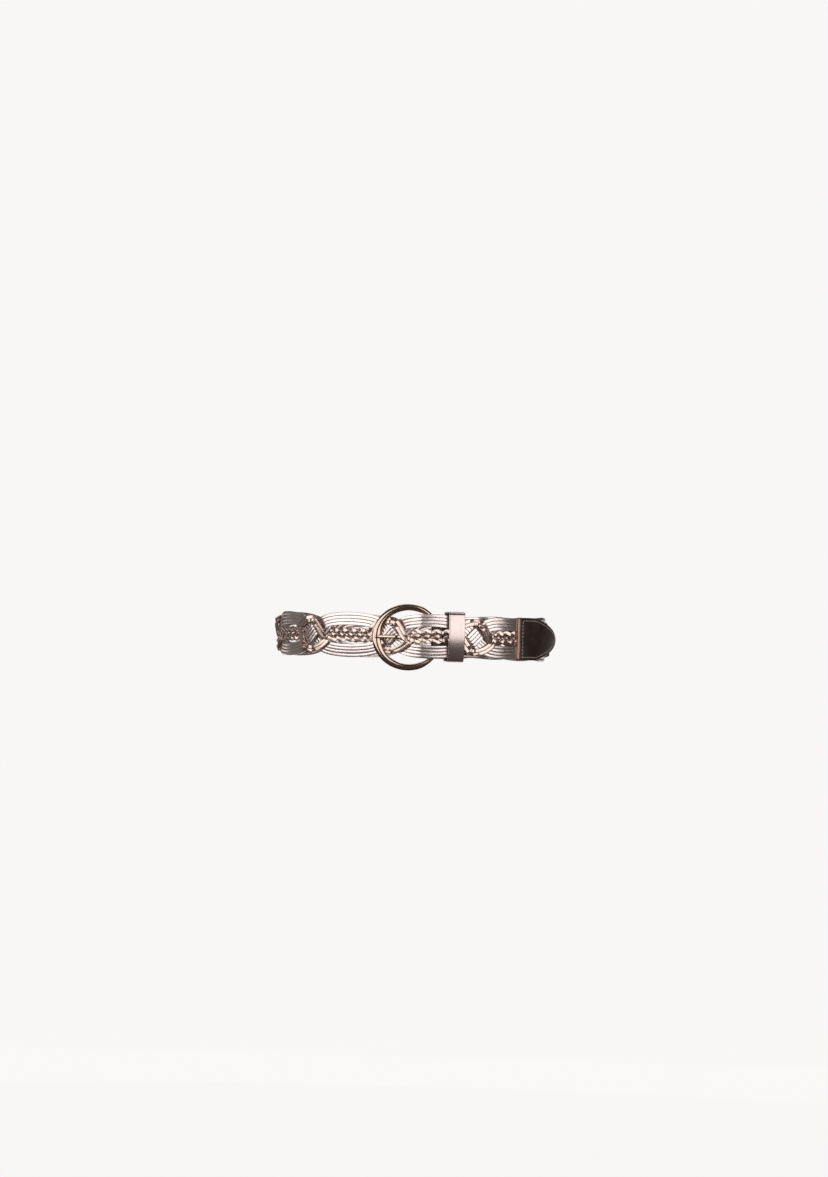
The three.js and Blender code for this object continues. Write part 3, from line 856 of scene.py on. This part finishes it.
@dataclass
class CoreBraid:
    """The four-lace flat braid between the ribbons, which parts into two branches round each knot."""

    layout: BraidLayout
    lace_width: float = 3.3 * MM
    lane_pitch: float = 2.9 * MM
    step: float = 0.7 * MM
    sway: float = 0.12 * MM
    depth_swing: float = 1.05 * MM
    steep_blend: tuple[float, float] = (13 * MM, 18 * MM)
    gentle_blend: tuple[float, float] = (16 * MM, 23 * MM)
    settle: tuple[float, float] = (6 * MM, 17 * MM)
    end_blend: float = 3 * MM
    stretches: list[Stretch] = field(init=False)
    lanes: list[list[int]] = field(init=False)

    def __post_init__(self) -> None:
        """Sets the stretches so that each starts and ends with its laces side by side."""
        layout = self.layout
        inset = layout.core_from_knot
        starts = [layout.back_end + 14 * MM, *(knot + inset for knot in layout.knots)]
        ends = [*(knot - inset for knot in layout.knots), layout.tip_start - 3.5 * MM]
        self.stretches = []
        for start, end in zip(starts, ends):
            halves = max(2, round((end - start) / (layout.core_bit / 2)))
            self.stretches.append(Stretch(start, end, 8 * (end - start) / halves))
        self.lanes = self.follow_lanes()

    def ranks(self, stretch: Stretch, place: float) -> list[int]:
        """Numbers of a stretch's laces from the highest to the lowest at a place."""
        return sorted(range(4), key=lambda k: -self.wave_height(stretch.phase(k, place)))

    def follow_lanes(self) -> list[list[int]]:
        """Which lace of each stretch every strand is, so that strands run on through the knots."""
        order = self.ranks(self.stretches[0], self.stretches[0].start)
        found = [[order[lane]] for lane in range(4)]
        for before, after in zip(self.stretches, self.stretches[1:]):
            leaving = self.ranks(before, before.end)
            entering = self.ranks(after, after.start)
            for numbers in found:
                numbers.append(entering[leaving.index(numbers[-1])])
        return found

    def wave_height(self, phase: float) -> float:
        """Height of a woven lace: between a zigzag and a wave."""
        share = phase % 1
        zigzag = 4 * abs(share - 0.5) - 1
        return self.layout.core_wave * mix(zigzag, math.cos(2 * math.pi * share), 0.55)

    def wave_depth(self, phase: float) -> float:
        """Over and under: a falling lace lies on top at both edges' rows, a rising one on the middle row."""
        marks = [(-1 / 8, -1), (1 / 8, 1), (1 / 4, -1), (3 / 8, 1)]
        marks += [(5 / 8, -1), (3 / 4, 1), (7 / 8, -1), (9 / 8, 1)]
        share = phase % 1
        for (a, low), (b, high) in zip(marks, marks[1:]):
            if share <= b:
                ease = (1 - math.cos(math.pi * (share - a) / (b - a))) / 2
                return mix(low, high, ease)
        return 1.0

    def place_of(self, strand: int, place: float) -> tuple[float, float]:
        """Height and depth of a strand at a place.

        Args:
            strand: the strand's number.
            place: place along the strap.

        Returns:
            Height, and depth from the strap's inner face.
        """
        layout = self.layout
        number = next((i for i, s in enumerate(self.stretches) if place <= (s.end + self.after(i)) / 2), None)
        number = len(self.stretches) - 1 if number is None else number
        stretch = self.stretches[number]
        phase = stretch.phase(self.lanes[strand][number], place)
        left = place < (stretch.start + stretch.end) / 2
        edge = stretch.start if left else stretch.end
        rank = self.ranks(stretch, edge).index(self.lanes[strand][number])
        side = Side.LOWER if rank < 2 else Side.UPPER
        knot_number = number - 1 if left else number
        has_knot = 0 <= knot_number < len(layout.knots)
        if has_knot:
            knot = layout.knots[knot_number]
            away = abs(place - knot)
            line = lambda p: layout.branch_height(knot, side, p)
            aside = (0.5 - rank % 2) * self.lane_pitch
            lane = line(place) + aside * math.hypot(1, layout.slope(line, place))
            steep = (side is Side.UPPER) == left
            low, high = self.steep_blend if steep else self.gentle_blend
            floor = max(layout.branch_lift(place, lane), self.over_join(away) if steep else 0)
            lane_depth = floor + layout.lace_thickness / 2
            woven = smoothstep(away, low, high)
        else:
            lane = (1.5 - rank) * layout.lace_width
            lane_depth = layout.lace_thickness / 2
            inside = place - stretch.start if left else stretch.end - place
            woven = smoothstep(inside, -self.end_blend, self.end_blend)
        depth = layout.core_thickness / 2 + self.depth_swing * self.wave_depth(phase)
        return mix(lane, self.wave_height(phase), woven), mix(lane_depth, depth, woven)

    def over_join(self, away: float) -> float:
        """Lift of a branch's steep end, which settles from over the knot onto the other branch."""
        layout = self.layout
        low, high = self.settle
        share = min(1.0, max(0.0, (away - low) / (high - low)))
        return mix(2 * layout.lift, layout.lace_thickness, share) * smoothstep(away, low / 2, low)

    def after(self, number: int) -> float:
        """Where the stretch after this one starts."""
        last = number + 1 >= len(self.stretches)
        return self.layout.path.length if last else self.stretches[number + 1].start

    def strand(self, strand: int) -> Strand:
        """Line of one strand from the bar to the tip."""
        layout = self.layout
        start, end = layout.back_end + 0.2 * MM, layout.tip_lace_end
        count = round((end - start) / self.step)
        seed = 40 + strand
        made = Strand()
        for i in range(count + 1):
            place = mix(start, end, i / count)
            height, depth = self.place_of(strand, place)
            height += self.sway * wander(seed, place / (7 * MM))
            depth += layout.stand_off(place) + self.sway * wander(seed + 0.5, place / (5 * MM))
            made.points.append(layout.path.point(place, height, depth))
            made.outs.append(layout.path.outward(place))
            made.shares.append(1 + 0.05 * wander(seed + 0.75, place / (6 * MM)))
        return made

    def build(self, sweep: LaceSweep, finish: bpy.types.Material) -> None:
        """Makes the braid as one piece.

        Args:
            sweep: the tree that lays laces.
            finish: the laces' leather.
        """
        strands = [self.strand(i) for i in range(4)]
        laces = sweep.run("core_laces", strands, self.lace_width, self.layout.lace_thickness, finish)
        finish_piece(laces, "core_leather", "core_braid")


@dataclass(frozen=True)
class StitchRow:
    """Geometry Nodes tree that sets plump stitches along lines, at an even pitch."""

    pitch: float = 3.0 * MM
    length: float = 2.3 * MM
    width: float = 0.9 * MM
    height: float = 0.6 * MM

    def tree(self) -> Tree:
        """Builds the tree, with the pitch, the stitch's size and its finish as inputs."""
        kinds = {"Pitch": "Float", "Stitch size": "Vector", "Finish": "Material"}
        tree, given, faced = start_tree("set_stitches", kinds)
        spots = {"Curve": faced, "Length": given.outputs["Pitch"]}
        holes = add_node(tree, "GeometryNodeCurveToPoints", spots, mode="LENGTH")
        bead = add_node(tree, "GeometryNodeMeshUVSphere", {"Segments": 8, "Rings": 6, "Radius": 0.5})
        stitches = add_node(
            tree,
            "GeometryNodeInstanceOnPoints",
            {
                "Points": holes.outputs["Points"],
                "Instance": bead.outputs[0],
                "Rotation": holes.outputs["Rotation"],
                "Scale": given.outputs["Stitch size"],
            },
        )
        end_tree(tree, stitches.outputs[0], given.outputs["Finish"])
        return tree

    def run(self, name: str, lines: Sequence[Strand], finish: bpy.types.Material) -> bpy.types.Object:
        """Sews along lines and gives the stitches as one plain mesh object."""
        size = (self.height, self.width, self.length)
        inputs = {"Pitch": self.pitch, "Stitch size": size, "Finish": finish}
        return run_tree(name, lines_mesh(f"{name}_lines", lines), self.tree(), inputs)


@dataclass
class TipTab:
    """The pointed leather tab sewn round the free end, with the raised strip at its mouth."""

    layout: BraidLayout
    shoulder: float = 112 * MM
    end: float = 151 * MM
    height: float = 37.4 * MM
    wall: float = 1.4 * MM
    sharpness: float = 0.6
    pocket: float = 12 * MM
    thinning: float = 0.35
    edge_ease: float = 1.3 * MM
    seam_inset: float = 2.7 * MM
    seam_depth: float = 0.3 * MM
    seam_width: float = 0.75 * MM
    strip_width: float = 1.8 * MM
    strip_thickness: float = 1.5 * MM
    stations: int = 74
    across: int = 60

    @property
    def thickness(self) -> float:
        """Thickness of the tab with the laces inside."""
        return self.layout.lace_thickness + 2 * self.wall + 2 * self.layout.clearance

    def half_height(self, place: float) -> float:
        """Half of the tab's height at a place."""
        share = max(0.0, (place - self.shoulder) / (self.end - self.shoulder))
        return self.height / 2 * max(0.012, 1 - share) ** self.sharpness

    def rise(self, place: float) -> float:
        """Rise of the outline for each metre along the strap."""
        step = 0.5 * MM
        return (self.half_height(place + step) - self.half_height(place - step)) / (2 * step)

    def inset(self, place: float, height: float) -> float:
        """How far a point of the tab lies inside its outline."""
        side = (self.half_height(place) - abs(height)) / math.hypot(1, self.rise(place))
        return min(side, place - self.layout.tip_start, self.end - place)

    def section(self, place: float) -> tuple[float, float]:
        """Depth of the tab's middle from the strap's inner face, and half of its thickness."""
        thin = 1 - self.thinning * smoothstep(place, self.layout.tip_start + self.pocket, self.end)
        back = self.thickness * (1 - thin) - self.wall - self.layout.clearance
        return back + self.thickness * thin / 2, self.thickness * thin / 2

    def front(self, place: float, share: float) -> float:
        """Depth of the front face from the strap's inner face."""
        middle, half = self.section(place)
        away = self.inset(place, share * self.half_height(place)) - self.seam_inset
        groove = self.seam_depth * math.exp(-((away / self.seam_width) ** 2))
        plump = 0.25 * MM * smoothstep(away, 0, 9 * MM)
        return middle + half * self.rounding(place, share) - groove + plump

    def back(self, place: float, share: float) -> float:
        """Depth of the back face from the strap's inner face."""
        middle, half = self.section(place)
        return middle - half * self.rounding(place, share)

    def rounding(self, place: float, share: float) -> float:
        """Eases both faces together at the cut edge."""
        half = self.half_height(place)
        away = min(half * (1 - abs(share)), self.edge_ease) / self.edge_ease
        nose = min(self.end - place, self.edge_ease) / self.edge_ease
        return math.sqrt(max(0.0, 1 - (1 - min(away, nose)) ** 3)) * 0.8 + 0.2

    def ring(self, place: float, half: float, front: Callable, back: Callable) -> list[Vector]:
        """Points round a section of the tab."""
        shares = [-math.cos(math.pi * i / self.across) for i in range(self.across + 1)]
        layout = self.layout
        stand = layout.stand_off(place)
        fronts = [layout.path.point(place, s * half, stand + front(place, s)) for s in shares]
        backs = [layout.path.point(place, s * half, stand + back(place, s)) for s in reversed(shares)]
        return fronts + backs

    def tab(self) -> bpy.types.Mesh:
        """Makes the tab with its pocket."""
        layout = self.layout
        pocket_half = layout.neck_height / 2 + layout.clearance
        inner_front = lambda _place, _share: layout.lace_thickness + layout.clearance
        inner_back = lambda _place, _share: -layout.clearance
        deep = layout.tip_start + self.pocket
        pocket = [
            self.ring(mix(deep, layout.tip_start, share), pocket_half, inner_front, inner_back)
            for share in (0, 0.5, 1)
        ]
        outer = []
        for i in range(self.stations + 1):
            share = 1 - (1 - i / self.stations) ** 1.5
            place = mix(layout.tip_start, self.end, share)
            outer.append(self.ring(place, self.half_height(place), self.front, self.back))
        return loft("tip_tab_leather", pocket + outer)

    def seam(self) -> Strand:
        """Line of the stitches, inset from the outline all round."""
        layout = self.layout
        line: list[tuple[float, float]] = []
        mouth = layout.tip_start + self.seam_inset
        side = self.height / 2 - self.seam_inset
        for i in range(16):
            line.append((mouth, mix(-side, side, i / 16)))
        for i in range(91):
            place = mix(mouth, self.end, i / 90)
            rise = self.rise(place)
            along = place + self.seam_inset * rise / math.hypot(1, rise)
            height = self.half_height(place) - self.seam_inset / math.hypot(1, rise)
            if height < 0.8 * MM:
                break
            line.append((along, height))
        upper = [point for point in line if point[1] > 0 and point[0] > mouth]
        line += [(place, -height) for place, height in reversed(upper)]
        made = Strand()
        for place, height in line:
            share = height / self.half_height(place)
            depth = layout.stand_off(place) + self.front(place, share) + 0.12 * MM
            made.points.append(layout.path.point(place, height, depth))
            made.outs.append(layout.path.outward(place))
            made.shares.append(1.0)
        return made

    def strip(self) -> bpy.types.Mesh:
        """Makes the raised strip at the mouth, slightly wavy as cut by hand."""
        layout = self.layout
        half = layout.neck_height / 2 + layout.clearance
        centre = layout.tip_start - layout.clearance - self.strip_width / 2
        rings = []
        for i in range(49):
            height = mix(-half, half, i / 48)
            middle = centre + 0.28 * MM * wander(70, height / (6 * MM))
            ends = math.sqrt(max(0.05, 1 - abs(2 * i / 48 - 1) ** 16))
            ring = []
            for k in range(14):
                angle = 2 * math.pi * k / 14
                across = squared_off(math.cos(angle), 0.6)
                out = squared_off(math.sin(angle), 0.6)
                place = middle + across * self.strip_width / 2 * ends
                thick = self.strip_thickness * (0.5 + 0.5 * out * ends)
                thick += 0.12 * MM * wander(71, height / (4 * MM)) * max(0.0, out)
                depth = layout.stand_off(place) + layout.lace_thickness + layout.clearance + thick
                ring.append(layout.path.point(place, height, depth))
            rings.append(ring)
        return loft("tip_edge_strip_leather", rings)

    def build(
        self,
        stitches: StitchRow,
        leather: bpy.types.Material,
        edge: bpy.types.Material,
        thread: bpy.types.Material,
    ) -> None:
        """Makes the tab, its strip and its stitches as pieces.

        Args:
            stitches: the tree that sews.
            leather: the tab's leather.
            edge: the strip's leather.
            thread: the stitches' thread.
        """
        finish_piece(show(self.tab(), "tip_tab_leather", leather), "dark_leather", "tip_tab")
        finish_piece(show(self.strip(), "tip_edge_strip_leather", edge), "raw_edge", "tip_edge_strip")
        finish_piece(stitches.run("tip_tab_stitches", [self.seam()], thread), "raw_edge")


@dataclass
class Keeper:
    """The closed band of foiled leather that holds the free end down."""

    layout: BraidLayout
    place: float = 34.6 * MM
    width: float = 14.4 * MM
    height: float = 43.8 * MM
    wall: float = 1.5 * MM
    corner: float = 3.0 * MM
    bow: float = 2.6 * MM
    bow_crest: float = 5.0 * MM

    def bowed(self, spot: Vector, out: Vector) -> tuple[Vector, Vector]:
        """Bows the band's front, as leather pulled round a strap does.

        Args:
            spot: height and depth of a point of the outer face.
            out: outward direction there.

        Returns:
            The point and the direction after it.
        """
        if out.y < 0.01:
            return spot, out
        share = (spot.x - self.bow_crest) / (self.height / 2)
        lean = 4 * self.bow * share / self.height
        swollen = Vector((spot.x, spot.y + self.bow * (0.75 - share**2)))
        return swollen, Vector((out.x + lean * out.y, out.y)).normalized()

    def outline(self, steps: int = 14) -> list[tuple[Vector, Vector]]:
        """Points and outward directions round the band's outer face, in height and depth."""
        layout = self.layout
        back = -2 * layout.clearance - self.wall
        front = layout.overlap_rise + layout.lift + layout.lace_thickness + 5 * layout.clearance + self.wall
        half = self.height / 2
        corners = [
            (-half + self.corner, front - self.corner, 180),
            (half - self.corner, front - self.corner, 90),
            (half - self.corner, back + self.corner, 0),
            (-half + self.corner, back + self.corner, -90),
        ]
        made = []
        for number, (height, depth, turn) in enumerate(corners):
            for i in range(steps + 1):
                angle = math.radians(turn - 90 * i / steps)
                out = Vector((math.cos(angle), math.sin(angle)))
                made.append((Vector((height, depth)) + self.corner * out, out))
            following = corners[(number + 1) % 4]
            parts = 12 if number in (0, 2) else 4
            for i in range(1, parts):
                out = Vector((math.cos(angle), math.sin(angle)))
                start = Vector((height, depth)) + self.corner * out
                end = Vector(following[:2]) + self.corner * out
                made.append((start.lerp(end, i / parts), out))
        return made

    def build(self, finish: bpy.types.Material) -> None:
        """Makes the band as a piece.

        Args:
            finish: its leather.
        """
        path = self.layout.path
        seat = path.foot(self.place)
        out = path.outward(self.place)
        along = Vector((-out.y, out.x, 0))
        section = []
        for k in range(20):
            angle = 2 * math.pi * k / 20
            across = squared_off(math.cos(angle), 0.25)
            thick = squared_off(math.sin(angle), 0.5)
            section.append((across * self.width / 2, (thick - 1) * self.wall / 2))
        rings = []
        for spot, direction in (self.bowed(*pair) for pair in self.outline()):
            ring = []
            for across, inward in section:
                height = spot.x + direction.x * inward
                depth = spot.y + direction.y * inward
                point = seat + along * across + out * depth
                point.z = height
                ring.append(point)
            rings.append(ring)
        band = loft("keeper_loop_leather", rings, closed=True)
        finish_piece(show(band, "keeper_loop_leather", finish), "keeper_leather", "keeper_loop")


@dataclass
class Buckle:
    """The polished horseshoe ring with its hidden bar, and the prong."""

    layout: BraidLayout
    ring_width: float = 63.4 * MM
    ring_height: float = 57.8 * MM
    ring_x: float = -3.8 * MM
    rim_face: float = 7.2 * MM
    arm_face: float = 5.4 * MM
    drop: float = 1.2 * MM
    thickness: float = 3.6 * MM
    bar: float = 3.5 * MM
    bar_place: float = 19 * MM
    prong_height: float = 3.0 * MM
    prong_thickness: float = 2.0 * MM
    prong_eye: float = 1.4 * MM
    prong_overhang: float = 5.2 * MM
    prong_under_knot: float = 14.6 * MM
    prong_over_knot: float = 7.7 * MM
    rim: Vector = field(init=False)
    bar_centre: Vector = field(init=False)
    centre: Vector = field(init=False)
    along: Vector = field(init=False)

    def __post_init__(self) -> None:
        """Finds the ring's plane, from the left rim on the strap to the bar inside the fold."""
        layout, path = self.layout, self.layout.path
        bar_depth = layout.fold_wall + layout.clearance + self.bar / 2
        self.bar_centre = path.point(self.bar_place, -self.drop, bar_depth)
        rim_depth = layout.lift + layout.lace_thickness + 6 * layout.clearance + self.thickness / 2
        rim_x = self.ring_x - self.ring_width / 2 + self.rim_face / 2
        self.rim = path.point(path.place_at(rim_x, rim_depth), -self.drop, rim_depth)
        self.along = (self.bar_centre - self.rim).normalized()
        self.centre = self.rim + self.along * (self.ring_width - self.rim_face) / 2

    def frame(self) -> bpy.types.Mesh:
        """Makes the ring and its bar as one closed tube."""
        semi_x = (self.ring_width - self.rim_face) / 2
        semi_z = (self.ring_height - self.arm_face) / 2
        reach = (self.bar_centre - self.centre).length
        start = math.acos(reach / semi_x)
        line: list[tuple[float, float, float, float]] = []
        for i in range(145):
            angle = start + (2 * math.pi - 2 * start) * i / 144
            leftness = (1 - math.cos(angle)) / 2
            taper = smoothstep(leftness, 0.1, 0.35)
            face = self.arm_face + (self.rim_face - self.arm_face) * leftness**3
            line.append(
                (semi_x * math.cos(angle), semi_z * math.sin(angle), mix(self.bar, face, taper), taper)
            )
        end_z = semi_z * math.sin(start)
        for i in range(1, 24):
            line.append((reach, mix(-end_z, end_z, i / 24), self.bar, 0.0))
        front = Vector((self.along.y, -self.along.x, 0))
        rings = []
        count = len(line)
        for i, (x, z, face, taper) in enumerate(line):
            before, after = line[i - 1], line[(i + 1) % count]
            inward = Vector((x - before[0], z - before[1])).normalized()
            onward = Vector((after[0] - x, after[1] - z)).normalized()
            tangent = (inward + onward).normalized()
            mitre = 1 / max(0.6, tangent.dot(onward))
            ring = []
            for k in range(24):
                angle = 2 * math.pi * k / 24
                power = mix(1.0, 0.85, taper)
                across = squared_off(math.cos(angle), power)
                out = squared_off(math.sin(angle), power)
                aside = across * face * mitre / 2
                depth = out * mix(self.bar, self.thickness, taper) / 2
                point = self.centre + self.along * (x + tangent.y * aside) + front * depth
                point.z = z - tangent.x * aside - self.drop
                ring.append(point)
            rings.append(ring)
        return loft("buckle_frame_metal", rings, closed=True)

    def prong_line(self) -> list[Vector]:
        """Middle line of the prong: an eye round the bar, then over the knot to the left rim."""
        layout, path = self.layout, self.layout.path
        radius = self.bar / 2 + layout.clearance + self.prong_eye / 2
        line = []
        for i in range(25):
            angle = math.radians(-175 + 265 * i / 24)
            line.append(self.bar_centre + radius * Vector((math.cos(angle), -math.sin(angle), 0)))
        half = self.prong_thickness / 2
        knot_top = layout.lift + layout.lace_thickness
        under = layout.buckle_knot + self.prong_under_knot
        over = layout.buckle_knot + self.prong_over_knot
        under_depth = layout.stand_off(under) - layout.clearance - half
        over_depth = layout.stand_off(over) + knot_top + 2 * layout.clearance + half
        rim_top = self.rim.y - self.thickness / 2 - layout.clearance - half
        inner = self.rim.x + self.rim_face / 2
        way = [
            line[-1],
            path.point((self.bar_place + under) / 2, -self.drop, under_depth),
            path.point(under, -self.drop, under_depth),
            path.point(over, -self.drop, over_depth),
            Vector((inner, rim_top, -self.drop)),
            Vector((inner - self.prong_overhang, rim_top, -self.drop)),
        ]
        return line + smooth_line(way, 60)[1:]

    def prong(self) -> bpy.types.Mesh:
        """Makes the prong."""
        line = self.prong_line()
        last = len(line) - 1
        rings = []
        for i, point in enumerate(line):
            along = (line[min(last, i + 1)] - line[max(0, i - 1)]).normalized()
            out = Vector((along.y, -along.x, 0))
            thick = mix(self.prong_eye, self.prong_thickness, smoothstep(i, 24, 34))
            nose = math.sqrt(1 - max(0.0, 1 - (last - i) / 3) ** 2) * 0.7 + 0.3
            ring = []
            for k in range(16):
                angle = 2 * math.pi * k / 16
                across = squared_off(math.cos(angle), 0.5)
                front = squared_off(math.sin(angle), 0.4)
                spot = point + out * (front * thick * nose / 2)
                spot.z = across * self.prong_height * nose / 2 - self.drop
                ring.append(spot)
            rings.append(ring)
        return loft("buckle_prong_metal", rings)

    def build(self, finish: bpy.types.Material) -> None:
        """Makes the ring and the prong as pieces.

        Args:
            finish: their metal.
        """
        finish_piece(show(self.frame(), "buckle_frame_metal", finish), "polished_metal", "buckle_frame")
        finish_piece(show(self.prong(), "buckle_prong_metal", finish), "polished_metal", "buckle_prong")


def smooth_line(way: Sequence[Vector], steps: int) -> list[Vector]:
    """Runs a smooth line through points.

    Args:
        way: the points.
        steps: number of parts of the whole line.

    Returns:
        Points along the line, the first and last of the way among them.
    """
    padded = [2 * way[0] - way[1], *way, 2 * way[-1] - way[-2]]
    made = []
    for i in range(steps + 1):
        position = (len(way) - 1) * i / steps
        part = min(len(way) - 2, int(position))
        t = position - part
        a, b, c, d = padded[part : part + 4]
        square = (2 * a - 5 * b + 4 * c - d) * t**2
        cube = (3 * b - a - 3 * c + d) * t**3
        made.append(0.5 * (2 * b + (c - a) * t + square + cube))
    return made


@dataclass
class BuckleFold:
    """The leather strip folded round the bar. Its shape is the CAD one, with eased edges."""

    ease: float = 0.35 * MM

    def build(self, frame: dict, finish: bpy.types.Material) -> None:
        """Makes the fold from a merged copy of its CAD node.

        Args:
            frame: the loaded frame.
            finish: the fold's leather.
        """
        source = frame["nodes"]["buckle_fold"]
        shape = bmesh.new()
        shape.from_mesh(source.data)
        shape.transform(source.matrix_world)
        bmesh.ops.remove_doubles(shape, verts=shape.verts, dist=0.01 * MM)
        bmesh.ops.dissolve_limit(shape, angle_limit=math.radians(2), verts=shape.verts, edges=shape.edges)
        bmesh.ops.recalc_face_normals(shape, faces=shape.faces)
        sharp = [edge for edge in shape.edges if edge.calc_face_angle(0) > math.radians(40)]
        bmesh.ops.bevel(shape, geom=sharp, offset=self.ease, segments=3, profile=0.5, affect="EDGES")
        mesh = bpy.data.meshes.new("buckle_fold_leather")
        shape.to_mesh(mesh)
        shape.free()
        finish_piece(show(mesh, "buckle_fold_leather", finish), "dark_leather", "buckle_fold")


@dataclass
class Studio:
    """Pale floor, soft lights, and the camera at the photograph's angle."""

    scale: float = 0.87 * MM
    image: tuple[int, int] = (828, 1177)
    belt_pixel: tuple[float, float] = (413.0, 636.0)
    distance: float = 3.4
    elevation: float = math.radians(-1.0)
    roll: float = math.radians(1.5)
    floor_height: float = -0.62
    belt_front: float = 0.096

    def camera(self) -> None:
        """Makes the camera. The belt's front centre falls on its pixel of the photograph."""
        data = bpy.data.cameras.new("camera")
        data.sensor_width = 36
        data.lens = 36 * self.distance / (self.image[1] * self.scale)
        data.clip_end = 60
        back = Vector((0, -math.cos(self.elevation), math.sin(self.elevation)))
        level = Vector((1, 0, 0))
        upright = back.cross(level)
        right = level * math.cos(self.roll) + upright * math.sin(self.roll)
        up = upright * math.cos(self.roll) - level * math.sin(self.roll)
        aside = (self.belt_pixel[0] - self.image[0] / 2) * self.scale
        above = (self.image[1] / 2 - self.belt_pixel[1]) * self.scale
        front = Vector((0, -self.belt_front, 0))
        location = front - right * aside - up * above + back * self.distance
        turn = Matrix((right, up, back)).transposed().to_4x4()
        camera = bpy.data.objects.new("camera", data)
        camera.matrix_world = Matrix.Translation(location) @ turn
        bpy.context.scene.collection.objects.link(camera)
        bpy.context.scene.camera = camera

    def cove(self) -> None:
        """Makes the pale floor, which rises smoothly to a round wall far behind."""
        rows = [(0.0, 0.0), (2.0, 0.0), (4.0, 0.0), (5.0, 0.03), (5.8, 0.16), (6.4, 0.45), (6.8, 0.95)]
        rows += [(7.0, 1.7), (7.0, 4.0), (7.0, 7.0)]
        shape = bmesh.new()
        around = 64
        rings = []
        for radius, height in rows[1:]:
            ring = []
            for k in range(around):
                angle = 2 * math.pi * k / around
                spot = (radius * math.cos(angle), radius * math.sin(angle), self.floor_height + height)
                ring.append(shape.verts.new(spot))
            rings.append(ring)
        shape.faces.new(rings[0])
        for here, there in zip(rings, rings[1:]):
            for k in range(around):
                j = (k + 1) % around
                shape.faces.new((here[k], here[j], there[j], there[k]))
        mesh = bpy.data.meshes.new("floor")
        shape.to_mesh(mesh)
        shape.free()
        material, tree = new_material("matt_paper")
        paper = add_node(tree, "ShaderNodeBsdfDiffuse", {"Color": linear("#3a3a3a")})
        glow = add_node(tree, "ShaderNodeEmission", {"Color": linear("#fbfaf9"), "Strength": 0.97})
        both = add_node(tree, "ShaderNodeAddShader", {0: paper.outputs[0], 1: glow.outputs[0]})
        add_node(tree, "ShaderNodeOutputMaterial", {"Surface": both.outputs[0]})
        floor = show(mesh, "floor", material)
        floor.visible_glossy = False
        floor.visible_diffuse = False

    def light(
        self, name: str, azimuth: float, distance: float, height: float, size: tuple[float, float], shine: float
    ) -> None:
        """Makes a soft box that faces the belt.

        Args:
            name: its name.
            azimuth: degrees round from the front, positive to the viewer's right.
            distance: level distance from the belt's centre.
            height: height over the belt.
            size: width and height.
            shine: how bright its face is, where 1 is white.
        """
        data = bpy.data.lights.new(name, "AREA")
        data.shape = "RECTANGLE"
        data.size, data.size_y = size
        data.energy = shine * math.pi * size[0] * size[1]
        angle = math.radians(azimuth)
        light = bpy.data.objects.new(name, data)
        light.location = (distance * math.sin(angle), -distance * math.cos(angle), height)
        light.rotation_mode = "QUATERNION"
        light.rotation_quaternion = (-light.location).to_track_quat("-Z", "Y")
        bpy.context.scene.collection.objects.link(light)

    def world(self) -> None:
        """Makes the dim warm room that the polished parts mirror."""
        world = bpy.data.worlds.new("room")
        world.use_nodes = True
        tree = world.node_tree
        tree.nodes.clear()
        air = add_node(tree, "ShaderNodeBackground", {"Color": linear("#8d7f78"), "Strength": 0.24})
        add_node(tree, "ShaderNodeOutputWorld", {"Surface": air.outputs[0]})
        bpy.context.scene.world = world

    def build(self) -> None:
        """Makes the whole studio."""
        self.world()
        self.cove()
        self.light("left_box", -38, 2.2, 0.3, (3.3, 1.3), 1.8)
        self.light("right_box", 36, 2.2, 0.3, (2.0, 1.3), 1.8)
        self.light("left_wall", -118, 2.2, 0.2, (1.8, 1.3), 0.13)
        self.light("floor_box", 180, 1.9, -0.6, (4.5, 1.0), 0.9)
        self.light("top_box", 180, 0.4, 2.2, (2.0, 0.8), 2.0)
        self.light("back_box", 180, 2.2, 0.4, (2.4, 2.2), 0.35)
        bpy.context.scene.view_settings.view_transform = "Standard"
        self.camera()


def main() -> None:
    """Builds the belt and the studio in order."""
    logging.basicConfig(level=logging.INFO, format="%(name)s: %(message)s")
    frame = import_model()
    foil = FoilLeather("foiled_lace_leather").build()
    core_foil = FoilLeather("foiled_core_leather", foil="#eedfd9", bloom="#c9a796", wear=0.35).build()
    # The keeper is the same foiled leather as the laces. Its foil and bloom are painted darker here: painted
    # shade that dims the soft boxes' bright reflection on its flat front.
    keeper_foil_painted_darker = FoilLeather(
        "foiled_keeper_leather",
        foil="#d3c4c0",
        bloom="#c4b1ac",
        wear=0.06,
        roughness=0.19,
        relief=0.03 * MM,
        follow=Follow.OBJECT,
    ).build()
    glazed = GlazedLeather("glazed_dark_leather").build()
    edge = CutEdgeLeather("waxed_cut_edge").build()
    metal = PolishedPlate("rose_gold_plate").build()
    thread = WaxedThread("waxed_linen_thread").build()
    layout = BraidLayout(WaistPath())
    sweep = LaceSweep()
    RibbonLaces(layout).build(sweep, foil)
    CoreBraid(layout).build(sweep, core_foil)
    TipTab(layout).build(StitchRow(), glazed, edge, thread)
    Keeper(layout).build(keeper_foil_painted_darker)
    Buckle(layout).build(metal)
    BuckleFold().build(frame, glazed)
    Studio().build()


if __name__ == "__main__":
    main()
